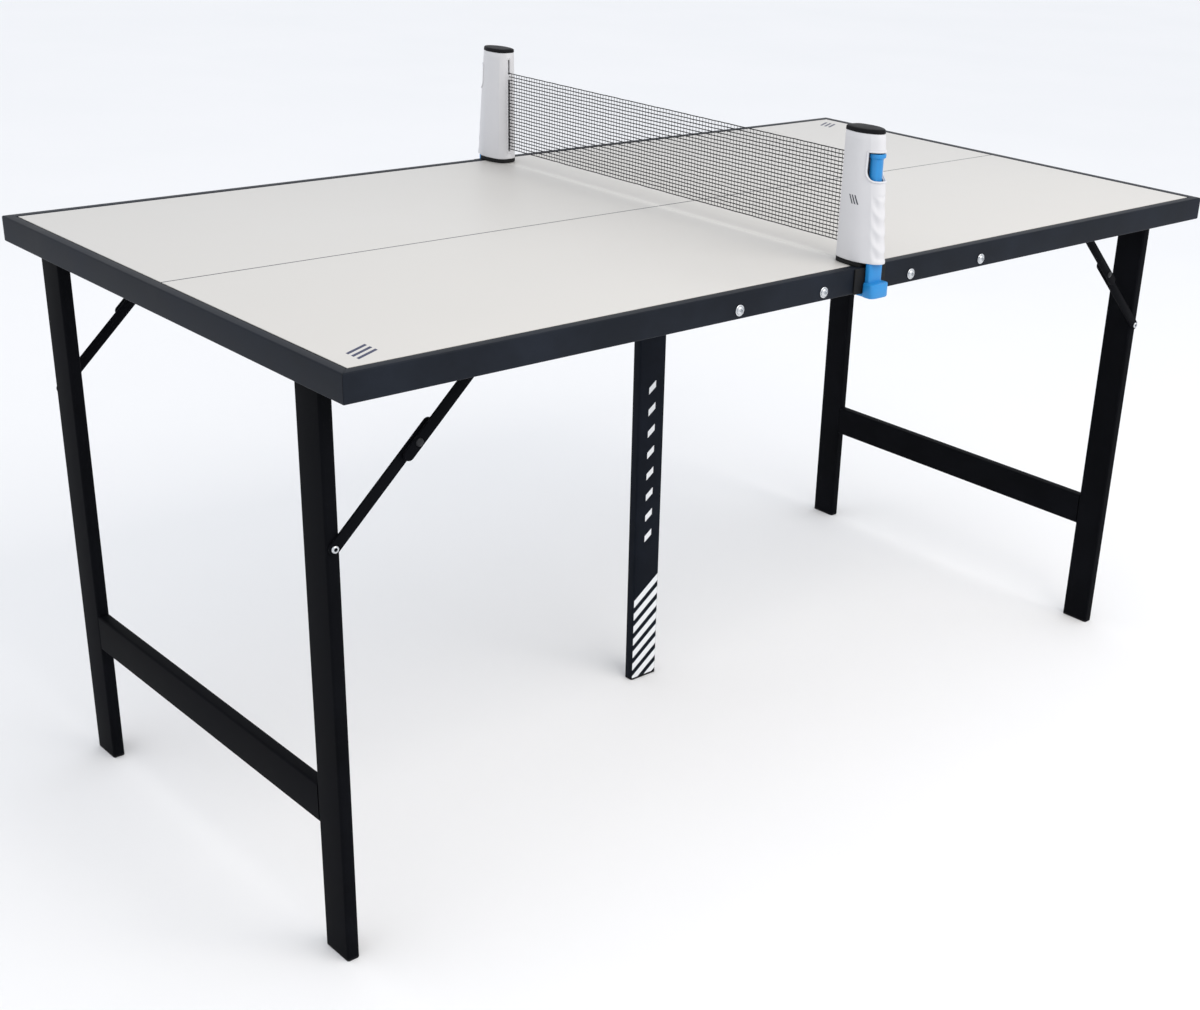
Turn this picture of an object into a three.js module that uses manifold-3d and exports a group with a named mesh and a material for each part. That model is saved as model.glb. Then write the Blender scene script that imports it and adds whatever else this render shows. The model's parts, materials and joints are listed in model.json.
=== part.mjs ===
// Folding ping pong table with a roll-up net, in millimetres.
// X runs along the table, Y across it and Z up. The origin is on the floor under the middle of the table.
// Each half of the table is a shallow steel-framed tray. The two trays are bolted end to end.
import * as THREE from 'three';
import { mergeVertices } from 'three/addons/utils/BufferGeometryUtils.js';
import Module from 'manifold-3d';

// ---- Driving dimensions ----
const TABLE = { length: 1400, width: 728, height: 685, frameDepth: 30, seamGap: 0.6 };
const GAP = 0.3; // clearance kept between pieces that touch
const RAIL = { width: 12.6, wall: 1.4, corner: 1.6, ledgeWidth: 5, ledgeThickness: 2.6 };
const PANEL = { thickness: 12, edgeGap: 0.4, drop: 0.2 };
const JOINT = { boltAt: [75, 207], height: 665, plateHalf: 238, plateThickness: 4, plateHeight: 12.4 };
const BOLT = { headRadius: 6.3, headHeight: 3.2, shankRadius: 3, length: 16.6, socket: 2.2, clearance: 0.2 };
const LEG = { thickness: 15, width: 44, corner: 2.5, wall: 1.2, outerY: 298.8, fromEnd: 20.8, hingeZ: 663 };
const FOOT = { pad: 3, plug: 12, plugGap: 0.35 };
const STRETCHER = { height: 46.5, bottomZ: 157.5 };
const AXLE = { radius: 3, hole: 3.3, reach: 356 };
const STAY = {
  legPivotDown: 175, topPivotIn: 185.2, width: 12.6, thickness: 3,
  lowerY: 299.1, upperY: 305.1, lowerTail: 21, upperTail: 16, shankRadius: 2.6, studRadius: 2.8,
};
const CENTRE = { width: 46, thickness: 15.3, innerY: 1.4, pivotZ: 627, boltRadius: 3.9 };
const POST = {
  innerY: 317, bottomZ: 690.5, topZ: 834, wall: 2.5, capTop: 839,
  topCentre: 342.8, topHalf: 25.8, topThick: 16, bottomCentre: 350, bottomHalf: 33, bottomThick: 19,
  roundness: 2.6, windowLow: 782, windowHigh: 815, windowInner: 358.5, windowRadius: 12,
  shelfZ: 714, shelfThickness: 3,
};
const CLAMP = {
  columnY: 361.5, columnRadius: 7.6, stemY: 370.6, stemTop: 709, collarZ: 763, ledgeZ: 808,
  footY: 375, footTop: 668, footBottom: 651.3, lipReach: 346,
};
const NET = { thickness: 1, bottomZ: 704, topZ: 808, nearEnd: 326, farEnd: 322.8 };

const halfLength = TABLE.length / 2;
const halfWidth = TABLE.width / 2;
const frameBottom = TABLE.height - TABLE.frameDepth;
const frameMiddle = TABLE.height - TABLE.frameDepth / 2;
const panelBottom = TABLE.height - PANEL.drop - PANEL.thickness;
const railInner = halfWidth - RAIL.width;
const hingeX = -(halfLength - LEG.fromEnd);

// ---- Materials ----
function finish(colour, roughness, metalness) {
  return new THREE.MeshStandardMaterial({ color: colour, roughness, metalness });
}
const blackSteel = finish(0x17191d, 0.42, 0.55);
const whiteBoard = finish(0xdcdad6, 0.55, 0);
const zincSteel = finish(0xc6c8ca, 0.3, 0.9);
const blackPlastic = finish(0x1c1c1e, 0.6, 0);
const greyPlastic = finish(0xd3d3d6, 0.38, 0);
const bluePlastic = finish(0x2a7fd0, 0.35, 0);
const blackRubber = finish(0x111214, 0.85, 0);
const netCord = finish(0x1b1c1f, 0.8, 0);

// ---- Solids: joining and cutting ----
const wasm = await Module();
wasm.setup();

function toSolid(geometry) {
  const bare = geometry.clone();
  bare.deleteAttribute('normal');
  bare.deleteAttribute('uv');
  const merged = mergeVertices(bare, 1e-4);
  return new wasm.Manifold(new wasm.Mesh({
    numProp: 3,
    vertProperties: new Float32Array(merged.attributes.position.array),
    triVerts: new Uint32Array(merged.index.array),
  }));
}

function toGeometry(solid) {
  const mesh = solid.getMesh();
  const geometry = new THREE.BufferGeometry();
  geometry.setAttribute('position', new THREE.BufferAttribute(mesh.vertProperties, 3));
  geometry.setIndex(new THREE.BufferAttribute(mesh.triVerts, 1));
  geometry.computeVertexNormals();
  return geometry;
}

function carve(body, cuts, joins = []) {
  let solid = toSolid(body);
  for (const piece of joins) solid = solid.add(toSolid(piece));
  for (const piece of cuts) solid = solid.subtract(toSolid(piece));
  return toGeometry(solid);
}

function overlap(first, second) {
  return toGeometry(toSolid(first).intersect(toSolid(second)));
}

// ---- Basic shapes ----
function block(x0, x1, y0, y1, z0, z1) {
  const geometry = new THREE.BoxGeometry(x1 - x0, y1 - y0, z1 - z0);
  return geometry.translate((x0 + x1) / 2, (y0 + y1) / 2, (z0 + z1) / 2);
}

function roundedRectangle(width, height, radius) {
  const [w, h, r] = [width / 2, height / 2, radius];
  const shape = new THREE.Shape();
  shape.moveTo(-w + r, -h);
  shape.lineTo(w - r, -h);
  shape.absarc(w - r, -h + r, r, -Math.PI / 2, 0);
  shape.lineTo(w, h - r);
  shape.absarc(w - r, h - r, r, 0, Math.PI / 2);
  shape.lineTo(-w + r, h);
  shape.absarc(-w + r, h - r, r, Math.PI / 2, Math.PI);
  shape.lineTo(-w, -h + r);
  shape.absarc(-w + r, -h + r, r, Math.PI, 1.5 * Math.PI);
  return shape;
}

function extrude(shape, depth, segments = 2) {
  return new THREE.ExtrudeGeometry(shape, { depth, bevelEnabled: false, curveSegments: segments });
}

// A rounded bar along Z, from z0 to z1, centred on the Z axis.
function barZ(width, height, radius, z0, z1) {
  return extrude(roundedRectangle(width, height, radius), z1 - z0).translate(0, 0, z0);
}

// Turns a shape made along Z so that it runs along X (section width on Y, height on Z).
function alongX(geometry) {
  return geometry.applyMatrix4(new THREE.Matrix4().makeBasis(
    new THREE.Vector3(0, 1, 0), new THREE.Vector3(0, 0, 1), new THREE.Vector3(1, 0, 0)));
}

// Turns a shape made along Z so that it runs along Y (section width on Z, height on X).
function alongY(geometry) {
  return geometry.applyMatrix4(new THREE.Matrix4().makeBasis(
    new THREE.Vector3(0, 0, 1), new THREE.Vector3(1, 0, 0), new THREE.Vector3(0, 1, 0)));
}

// A flat plate whose outline is drawn in X and Z, between two values of Y.
function plateXZ(shape, yA, yB, segments = 4) {
  const plate = extrude(shape, Math.abs(yB - yA), segments);
  return plate.rotateX(Math.PI / 2).translate(0, Math.max(yA, yB), 0);
}

function rodY(radius, yA, yB, x = 0, z = 0, segments = 12) {
  const rod = new THREE.CylinderGeometry(radius, radius, Math.abs(yB - yA), segments);
  return rod.translate(x, (yA + yB) / 2, z);
}

function rodZ(radius, z0, z1, x = 0, y = 0, segments = 12) {
  const rod = new THREE.CylinderGeometry(radius, radius, z1 - z0, segments);
  return rod.rotateX(Math.PI / 2).translate(x, y, (z0 + z1) / 2);
}

// A strip with round ends between two points of the XZ plane.
function strip(from, to, width) {
  const turn = Math.atan2(to.y - from.y, to.x - from.x);
  const shape = new THREE.Shape();
  shape.absarc(to.x, to.y, width / 2, turn - Math.PI / 2, turn + Math.PI / 2);
  shape.absarc(from.x, from.y, width / 2, turn + Math.PI / 2, turn + 1.5 * Math.PI);
  return shape;
}

// A closed skin through rings stacked in Z. Each ring is { z, y, hx, hy, n }: a centre in Y, two half sizes
// and a roundness, 2 for an ellipse and more for a fuller outline.
function loft(rings, segments = 32) {
  const points = [];
  const bend = (value, power) => Math.sign(value) * Math.abs(value) ** power;
  for (const { z, y, hx, hy, n = 2 } of rings) {
    for (let i = 0; i < segments; i += 1) {
      const turn = (i / segments) * 2 * Math.PI;
      points.push(hx * bend(Math.cos(turn), 2 / n), y + hy * bend(Math.sin(turn), 2 / n), z);
    }
  }
  const triangles = [];
  for (let ring = 0; ring < rings.length - 1; ring += 1) {
    for (let i = 0; i < segments; i += 1) {
      const a = ring * segments + i;
      const b = ring * segments + ((i + 1) % segments);
      triangles.push(a, b, b + segments, a, b + segments, a + segments);
    }
  }
  const [first, last] = [rings[0], rings[rings.length - 1]];
  const low = points.length / 3;
  points.push(0, first.y, first.z, 0, last.y, last.z);
  const topRing = (rings.length - 1) * segments;
  for (let i = 0; i < segments; i += 1) {
    const next = (i + 1) % segments;
    triangles.push(low, next, i, low + 1, topRing + i, topRing + next);
  }
  const geometry = new THREE.BufferGeometry();
  geometry.setAttribute('position', new THREE.Float32BufferAttribute(points, 3));
  geometry.setIndex(triangles);
  geometry.computeVertexNormals();
  return geometry;
}

function named(name, geometry, material) {
  const mesh = new THREE.Mesh(geometry, material);
  mesh.name = name;
  return mesh;
}

// ---- The tray frame of one half, drawn for the half at -X ----
// A wedge that takes off what lies past the 45 degree mitre through a frame corner.
function mitreWedge(face, keepEndRail) {
  const reach = 60;
  const corner = new THREE.Vector2(-halfLength, face * halfWidth);
  const along = new THREE.Vector2(1, -face).normalize();
  const side = new THREE.Vector2(1, face).normalize().multiplyScalar(keepEndRail ? 1 : -1);
  const start = corner.clone().addScaledVector(along, -reach).addScaledVector(side, -GAP / 2);
  const end = corner.clone().addScaledVector(along, reach).addScaledVector(side, -GAP / 2);
  const shape = new THREE.Shape([
    start, end,
    end.clone().addScaledVector(side, 2 * reach), start.clone().addScaledVector(side, 2 * reach),
  ]);
  return extrude(shape, TABLE.frameDepth + 4).translate(0, 0, frameBottom - 2);
}

function tubeSection(length) {
  const outer = barZ(RAIL.width, TABLE.frameDepth, RAIL.corner, 0, length);
  const wall = 2 * RAIL.wall;
  const bore = barZ(RAIL.width - wall, TABLE.frameDepth - wall, RAIL.corner / 2, -1, length + 1);
  return carve(outer, [bore]);
}

function longRail(face) {
  const length = halfLength - TABLE.seamGap / 2;
  const middleY = face * (halfWidth - RAIL.width / 2);
  const tube = alongX(tubeSection(length)).translate(-halfLength, middleY, frameMiddle);
  const ledgeY = [face * (railInner + 0.5), face * (railInner - RAIL.ledgeWidth)].sort((a, b) => a - b);
  const ledgeTop = panelBottom - GAP;
  const ledge = block(-halfLength + 24, -16, ...ledgeY, ledgeTop - RAIL.ledgeThickness, ledgeTop);
  const boltHole = BOLT.shankRadius + BOLT.clearance;
  const outerY = face * (halfWidth + 1);
  const cuts = JOINT.boltAt.map((x) => rodY(boltHole, face * (railInner - 1), outerY, -x, JOINT.height));
  cuts.push(rodY(AXLE.hole, face * (railInner - 2), face * (railInner + 3), hingeX, LEG.hingeZ));
  return carve(tube, [mitreWedge(face, false), ...cuts], [ledge]);
}

function endRail() {
  const tube = tubeSection(TABLE.width).rotateZ(Math.PI / 2);
  const rail = alongY(tube).translate(-halfLength + RAIL.width / 2, -halfWidth, frameMiddle);
  return carve(rail, [mitreWedge(-1, true), mitreWedge(1, true)]);
}

// The cross tube that closes the tray at the seam and carries the panel's inner edge.
function middleRail() {
  const height = panelBottom - GAP - frameBottom - 0.2;
  const reach = railInner - JOINT.plateThickness - 3 * GAP;
  const outer = barZ(height, RAIL.width, RAIL.corner, -reach, reach);
  const wall = 2 * RAIL.wall;
  const bore = barZ(height - wall, RAIL.width - wall, RAIL.corner / 2, -reach - 1, reach + 1);
  const x = -TABLE.seamGap / 2 - RAIL.width / 2;
  return alongY(carve(outer, [bore])).translate(x, 0, frameBottom + 0.2 + height / 2);
}

function topPanel() {
  const inset = RAIL.width + PANEL.edgeGap;
  return block(
    -halfLength + inset, -TABLE.seamGap / 2, -halfWidth + inset, halfWidth - inset,
    panelBottom, TABLE.height - PANEL.drop,
  );
}

// ---- The bolted joint between the trays ----
function joiningPlate(face) {
  const outer = railInner - GAP;
  const y = [face * outer, face * (outer - JOINT.plateThickness)].sort((a, b) => a - b);
  const low = JOINT.height - 8;
  const plate = block(-JOINT.plateHalf, JOINT.plateHalf, ...y, low, low + JOINT.plateHeight);
  const holes = [-1, 1].flatMap((side) => JOINT.boltAt.map((x) => rodY(
    BOLT.shankRadius + BOLT.clearance, face * (outer + 1), face * (outer - JOINT.plateThickness - 1),
    side * x, JOINT.height)));
  return carve(plate, holes);
}

// A button-head bolt along Y: its underside is at y = 0, its head on the -Y side.
function buttonBolt(headRadius, headHeight, shankRadius, length, socket) {
  const profile = [
    [0, -length], [shankRadius - 0.5, -length], [shankRadius, -length + 0.5], [shankRadius, 0],
    [headRadius, 0], [headRadius, headHeight * 0.25], [headRadius * 0.86, headHeight * 0.7],
    [headRadius * 0.5, headHeight], [0, headHeight],
  ].map(([r, h]) => new THREE.Vector2(r, h));
  const turned = new THREE.LatheGeometry(profile, 14);
  const hexagon = new THREE.CylinderGeometry(socket, socket, headHeight, 6);
  hexagon.translate(0, headHeight * 0.9, 0);
  return carve(turned, [hexagon]).rotateZ(Math.PI);
}

function jointBolt() {
  return buttonBolt(BOLT.headRadius, BOLT.headHeight, BOLT.shankRadius, BOLT.length, BOLT.socket);
}

// ---- One leg frame, drawn about its hinge line: the axle is at x = 0, z = 0 ----
function legTube(face) {
  const foot = -(LEG.hingeZ - FOOT.pad - GAP);
  const middleY = face * (LEG.outerY - LEG.width / 2);
  const wall = 2 * LEG.wall;
  const profile = (radius, low) => {
    const shape = new THREE.Shape();
    shape.moveTo(-radius, low);
    shape.lineTo(radius, low);
    shape.absarc(0, 0, radius, 0, Math.PI);
    return shape;
  };
  const half = LEG.thickness / 2;
  const skin = overlap(
    barZ(LEG.thickness, LEG.width, LEG.corner, foot, half),
    plateXZ(profile(half, foot), -LEG.width, LEG.width));
  const bore = overlap(
    barZ(LEG.thickness - wall, LEG.width - wall, LEG.corner - LEG.wall, foot - 2, half),
    plateXZ(profile(half - LEG.wall, foot - 2), -LEG.width, LEG.width));
  const outer = face * LEG.width / 2;
  const tube = carve(skin, [
    bore,
    rodY(AXLE.hole, -LEG.width, LEG.width),
    rodY(STAY.shankRadius + GAP, outer - face * 3, outer + face, 0, -STAY.legPivotDown),
  ]);
  return tube.translate(0, middleY, 0);
}

function footCap(thickness, width, corner, wall) {
  const pad = barZ(thickness, width, corner, 0, FOOT.pad);
  const shrink = 2 * (wall + FOOT.plugGap);
  const plug = barZ(thickness - shrink, width - shrink, 1, FOOT.pad - 0.5, FOOT.pad + FOOT.plug);
  return carve(pad, [], [plug]);
}

function stretcher() {
  const reach = LEG.outerY - LEG.width - GAP;
  const outer = barZ(STRETCHER.height, LEG.thickness, LEG.corner, -reach, reach);
  const wall = 2 * LEG.wall;
  const bore = barZ(
    STRETCHER.height - wall, LEG.thickness - wall, LEG.corner - LEG.wall, -reach - 1, reach + 1);
  return alongY(carve(outer, [bore]));
}

// ---- The folding stay beside each leg: two flat links, riveted at a knuckle ----
const legPivot = new THREE.Vector2(hingeX, LEG.hingeZ - STAY.legPivotDown);
const topPivot = new THREE.Vector2(hingeX + STAY.topPivotIn, LEG.hingeZ);
const staySpan = legPivot.distanceTo(topPivot);
// With these lengths the stay is straight when the leg is down and doubled back on itself when it is up.
const lowerLength = (staySpan + STAY.topPivotIn - STAY.legPivotDown) / 2;
const stayDirection = topPivot.clone().sub(legPivot).normalize();
const onStay = (distance) => legPivot.clone().addScaledVector(stayDirection, distance);
const knuckle = onStay(lowerLength);

function stayLower(face) {
  const [inner, outer] = [STAY.lowerY, STAY.lowerY + STAY.thickness];
  const end = onStay(lowerLength + STAY.lowerTail);
  const bar = plateXZ(strip(legPivot, end, STAY.width), face * inner, face * outer);
  const rivetAt = (radius, from, to) => rodY(radius, face * from, face * to, legPivot.x, legPivot.y);
  const shank = rivetAt(STAY.shankRadius, inner - 3, inner + 1);
  const head = rivetAt(4.1, outer - 0.5, outer + 2.2);
  const dimple = rivetAt(1.7, outer + 0.8, outer + 3);
  const eye = rodY(STAY.shankRadius + GAP, face * (inner - 1), face * (outer + 1), knuckle.x, knuckle.y);
  return carve(bar, [dimple, eye], [shank, head]);
}

function stayUpper(face) {
  const [inner, outer] = [STAY.upperY, STAY.upperY + STAY.thickness];
  const end = onStay(lowerLength - STAY.upperTail);
  const bar = plateXZ(strip(end, topPivot, STAY.width), face * inner, face * outer);
  const collar = rodY(4, face * (inner - 2.6), face * (inner + 0.5), knuckle.x, knuckle.y);
  const head = rodY(4.4, face * (outer - 0.5), face * (outer + 2), knuckle.x, knuckle.y);
  const eye = rodY(STAY.studRadius + GAP, face * (inner - 1), face * (outer + 1), topPivot.x, topPivot.y);
  return carve(bar, [eye], [collar, head]);
}

// The angle bracket under the panel, with the stud that the upper link turns on.
function stayBracket(face) {
  const inner = STAY.upperY + STAY.thickness + 0.4;
  const top = panelBottom - GAP;
  const ear = new THREE.Shape();
  ear.moveTo(topPivot.x - 16, top);
  ear.lineTo(topPivot.x - 16, top - 7);
  ear.absarc(topPivot.x, topPivot.y, 7, 1.2 * Math.PI, 1.8 * Math.PI);
  ear.lineTo(topPivot.x + 16, top - 7);
  ear.lineTo(topPivot.x + 16, top);
  const wall = plateXZ(ear, face * inner, face * (inner + 3));
  const flangeY = [face * inner, face * (inner + 26)].sort((a, b) => a - b);
  const flange = block(topPivot.x - 16, topPivot.x + 16, ...flangeY, top - 2.8, top);
  const studFrom = face * (STAY.upperY - 0.4);
  const stud = rodY(STAY.studRadius, studFrom, face * (inner + 1), topPivot.x, topPivot.y);
  return carve(wall, [], [flange, stud]);
}

// ---- The centre leg and its bracket ----
function centreBracket() {
  const top = frameBottom - GAP;
  const flange = block(-30, 30, -22, 22, top - 2.8, top);
  const web = block(-27, 20, -2.4, 1, 598, top - 1);
  const stop = block(-27, -23.4, 0.5, 15, 598, 612);
  const nut = rodY(7, -9, -2, 0, CENTRE.pivotZ, 6);
  const eye = rodY(CENTRE.boltRadius + 0.3, -12, 4, 0, CENTRE.pivotZ);
  return carve(flange, [eye], [web, stop, nut]);
}

function centreLeg() {
  const foot = -(CENTRE.pivotZ - FOOT.pad - GAP);
  const half = CENTRE.width / 2;
  const profile = (radius, low) => {
    const shape = new THREE.Shape();
    shape.moveTo(-radius, low);
    shape.lineTo(radius, low);
    shape.absarc(0, 0, radius, 0, Math.PI);
    return shape;
  };
  const wall = LEG.wall;
  const skin = overlap(
    barZ(CENTRE.width, CENTRE.thickness, LEG.corner, foot, half),
    plateXZ(profile(half, foot), -CENTRE.thickness, CENTRE.thickness, 10));
  const bore = overlap(
    barZ(CENTRE.width - 2 * wall, CENTRE.thickness - 2 * wall, LEG.corner - wall, foot - 2, half),
    plateXZ(profile(half - wall, foot - 2), -CENTRE.thickness, CENTRE.thickness, 10));
  return carve(skin, [bore, rodY(CENTRE.boltRadius + 0.3, -20, 20)]);
}

// ---- The net posts, drawn for the post at -Y ----
// The outline of the housing at a height, made smaller all round by inset.
function postRing(z, inset = 0) {
  const drop = (POST.topZ - z) / (POST.topZ - POST.bottomZ);
  const mix = (top, bottom) => top + (bottom - top) * drop;
  return {
    z,
    y: -mix(POST.topCentre, POST.bottomCentre),
    hx: mix(POST.topThick, POST.bottomThick) - inset,
    hy: mix(POST.topHalf, POST.bottomHalf) - inset,
    n: POST.roundness,
  };
}

// The thumb window takes the nose off the housing, with a round lower corner.
function windowCut() {
  const { windowLow: low, windowHigh: high, windowInner: inner, windowRadius: radius } = POST;
  const shape = new THREE.Shape();
  shape.moveTo(inner, high);
  shape.lineTo(inner, low + radius);
  shape.absarc(inner + radius, low + radius, radius, Math.PI, 1.5 * Math.PI);
  shape.lineTo(400, low);
  shape.lineTo(400, high);
  return alongX(extrude(shape, 60, 6)).translate(-30, 0, 0).rotateZ(Math.PI);
}

function postHousing() {
  const skin = loft([postRing(POST.bottomZ), postRing(760), postRing(POST.topZ)], 28);
  const hollow = loft([postRing(POST.bottomZ - 2, POST.wall), postRing(760, POST.wall),
    postRing(POST.topZ + 2, POST.wall)], 28);
  const shelfTop = POST.shelfZ + POST.shelfThickness;
  const shelfBlock = block(-40, 40, -400, -348, POST.shelfZ, shelfTop);
  const shelf = overlap(loft([postRing(700, 0.8), postRing(740, 0.8)], 28), shelfBlock);
  const columnHole = rodZ(8.3, POST.shelfZ - 2, shelfTop + 2, 0, -CLAMP.columnY, 20);
  const slot = block(-1.3, 1.3, -POST.innerY - 12, -POST.innerY + 6, NET.bottomZ - 3, NET.topZ + 15);
  const shell = carve(skin, [hollow, windowCut(), slot]);
  return carve(shell, [columnHole], [shelf]);
}

function postCap() {
  const seat = POST.topZ + GAP;
  const inside = POST.wall + 0.4;
  return loft([
    postRing(seat - 5, inside), postRing(seat, inside), postRing(seat),
    postRing(POST.capTop - 1.2), postRing(POST.capTop, 1.8),
  ], 28);
}

function basePad() {
  const low = TABLE.height + GAP;
  const pad = loft([postRing(low, 1.2), postRing(POST.bottomZ - GAP, 1.2)], 28);
  return overlap(pad, block(-40, 40, -halfWidth + 1.5, -200, low - 1, POST.bottomZ));
}

// The blue thumb plunger: thumb ledge, column, stem outside the rail, and the jaw that hooks under it.
function clampPlunger() {
  const { columnY, columnRadius, stemY, stemTop, collarZ, ledgeZ, footY, footTop, footBottom } = CLAMP;
  const column = (z, radius = columnRadius) => ({ z, y: -columnY, hx: radius, hy: radius });
  const stem = (z) => ({ z, y: -stemY, hx: 11, hy: 4.6, n: 4 });
  const ledge = (z) => ({ z, y: -columnY - 0.8, hx: 8.8, hy: 8.8, n: 2.6 });
  const upright = loft([
    stem(footTop - 4), stem(stemTop), column(POST.shelfZ - 0.6), column(collarZ),
    column(collarZ, 10), column(collarZ + 3, 10), column(collarZ + 3), column(ledgeZ - 1),
    ledge(ledgeZ), ledge(ledgeZ + 4.5),
  ], 20);
  const jaw = (z, inset = 0) => ({ z, y: -footY, hx: 15 - inset, hy: 9 - inset, n: 4 });
  const foot = loft([jaw(footBottom, 1), jaw(footBottom + 1.2), jaw(footTop)], 20);
  const lip = block(-13, 13, -footY, -CLAMP.lipReach, footBottom, frameBottom - 0.4);
  return carve(upright, [], [foot, lip]);
}

class Helix extends THREE.Curve {
  constructor(radius, turns, low, high) {
    super();
    Object.assign(this, { radius, turns, low, high });
  }

  getPoint(t, target = new THREE.Vector3()) {
    const turn = 2 * Math.PI * this.turns * t;
    return target.set(
      this.radius * Math.cos(turn), this.radius * Math.sin(turn), this.low + (this.high - this.low) * t);
  }
}

function clampSpring() {
  const wire = 0.8;
  const low = POST.shelfZ + POST.shelfThickness + 0.6 + wire;
  const high = CLAMP.collarZ - 0.6 - wire;
  const section = new THREE.Shape();
  section.absarc(0, 0, wire, 0, 2 * Math.PI);
  const path = new Helix(9.1, 6, low, high);
  const options = { steps: 60, extrudePath: path, bevelEnabled: false, curveSegments: 3 };
  return new THREE.ExtrudeGeometry(section, options);
}

// The roller that the spare net winds on, with a spindle at each end.
function netSpool() {
  const profile = [
    [0, 692], [2.5, 692], [2.5, 698], [9.3, 698], [9.3, 826], [2.5, 826], [2.5, 828.5], [0, 828.5],
  ].map(([r, z]) => new THREE.Vector2(r, z));
  return new THREE.LatheGeometry(profile, 20).rotateX(Math.PI / 2);
}

// ---- Assembly ----
const table = new THREE.Group();

function addEnd(side, turned) {
  const end = new THREE.Group();
  end.rotation.z = turned ? Math.PI : 0;
  const faces = [[-1, turned ? 'far' : 'near'], [1, turned ? 'near' : 'far']];
  end.add(named(`end_rail_${side}`, endRail(), blackSteel));
  end.add(named(`middle_rail_${side}`, middleRail(), blackSteel));
  end.add(named(`top_panel_${side}`, topPanel(), whiteBoard));
  const axle = named(`leg_axle_${side}`, rodY(AXLE.radius, -AXLE.reach, AXLE.reach), zincSteel);
  axle.position.set(hingeX, 0, LEG.hingeZ);
  end.add(axle);
  const legFrame = new THREE.Group();
  legFrame.position.set(hingeX, 0, LEG.hingeZ);
  const bar = named(`stretcher_${side}`, stretcher(), blackSteel);
  bar.position.z = STRETCHER.bottomZ + STRETCHER.height / 2 - LEG.hingeZ;
  legFrame.add(bar);
  for (const [face, word] of faces) {
    end.add(named(`long_rail_${side}_${word}`, longRail(face), blackSteel));
    end.add(named(`stay_lower_${side}_${word}`, stayLower(face), blackSteel));
    end.add(named(`stay_upper_${side}_${word}`, stayUpper(face), blackSteel));
    end.add(named(`stay_bracket_${side}_${word}`, stayBracket(face), blackSteel));
    legFrame.add(named(`leg_${side}_${word}`, legTube(face), blackSteel));
    const cap = named(
      `foot_cap_${side}_${word}`, footCap(LEG.thickness, LEG.width, LEG.corner, LEG.wall), blackPlastic);
    cap.position.set(0, face * (LEG.outerY - LEG.width / 2), -LEG.hingeZ);
    legFrame.add(cap);
    JOINT.boltAt.forEach((x, index) => {
      const bolt = named(`joint_bolt_${side}_${word}_${index + 1}`, jointBolt(), zincSteel);
      bolt.position.set(-x, face * (halfWidth + GAP), JOINT.height);
      bolt.rotation.z = face < 0 ? 0 : Math.PI;
      end.add(bolt);
    });
  }
  end.add(legFrame);
  table.add(end);
}

function addCentreLeg() {
  table.add(named('centre_bracket', centreBracket(), blackSteel));
  const middleY = CENTRE.innerY + CENTRE.thickness / 2;
  const leg = named('centre_leg', centreLeg(), blackSteel);
  leg.position.set(0, middleY, CENTRE.pivotZ);
  const capShape = footCap(CENTRE.width, CENTRE.thickness, LEG.corner, LEG.wall);
  const cap = named('centre_foot_cap', capShape, blackPlastic);
  cap.position.set(0, middleY, 0);
  const outer = CENTRE.innerY + CENTRE.thickness + GAP;
  const boltShape = buttonBolt(7.4, 4, CENTRE.boltRadius, outer + 8.5, 2.9);
  const bolt = named('centre_pivot_bolt', boltShape, zincSteel);
  bolt.position.set(0, outer, CENTRE.pivotZ);
  bolt.rotation.z = Math.PI;
  table.add(leg, cap, bolt);
}

function addPost(word, turned) {
  const post = new THREE.Group();
  post.rotation.z = turned ? Math.PI : 0;
  post.add(named(`post_housing_${word}`, postHousing(), greyPlastic));
  post.add(named(`post_cap_${word}`, postCap(), blackPlastic));
  post.add(named(`post_base_pad_${word}`, basePad(), blackRubber));
  post.add(named(`clamp_plunger_${word}`, clampPlunger(), bluePlastic));
  const spring = named(`clamp_spring_${word}`, clampSpring(), zincSteel);
  spring.position.y = -CLAMP.columnY;
  post.add(spring);
  table.add(post);
}

function addNet() {
  const spool = named('net_spool', netSpool(), greyPlastic);
  spool.position.y = NET.farEnd + 10.2;
  const net = block(
    -NET.thickness / 2, NET.thickness / 2, -NET.nearEnd, NET.farEnd, NET.bottomZ, NET.topZ);
  table.add(spool, named('net', net, netCord));
}

addEnd('left', false);
addEnd('right', true);
for (const [face, word] of [[-1, 'near'], [1, 'far']]) {
  table.add(named(`joining_plate_${word}`, joiningPlate(face), zincSteel));
}
addCentreLeg();
addPost('near', false);
addPost('far', true);
addNet();

export default table;
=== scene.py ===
# A small folding ping pong table with a clamp-on net. Metres, in the table's own frame: X along it, Y across,
# Z up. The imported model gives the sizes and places, and each section below finishes one group of its pieces.
import json
import math

import bmesh
import bpy
from mathutils import Matrix, Vector


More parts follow.
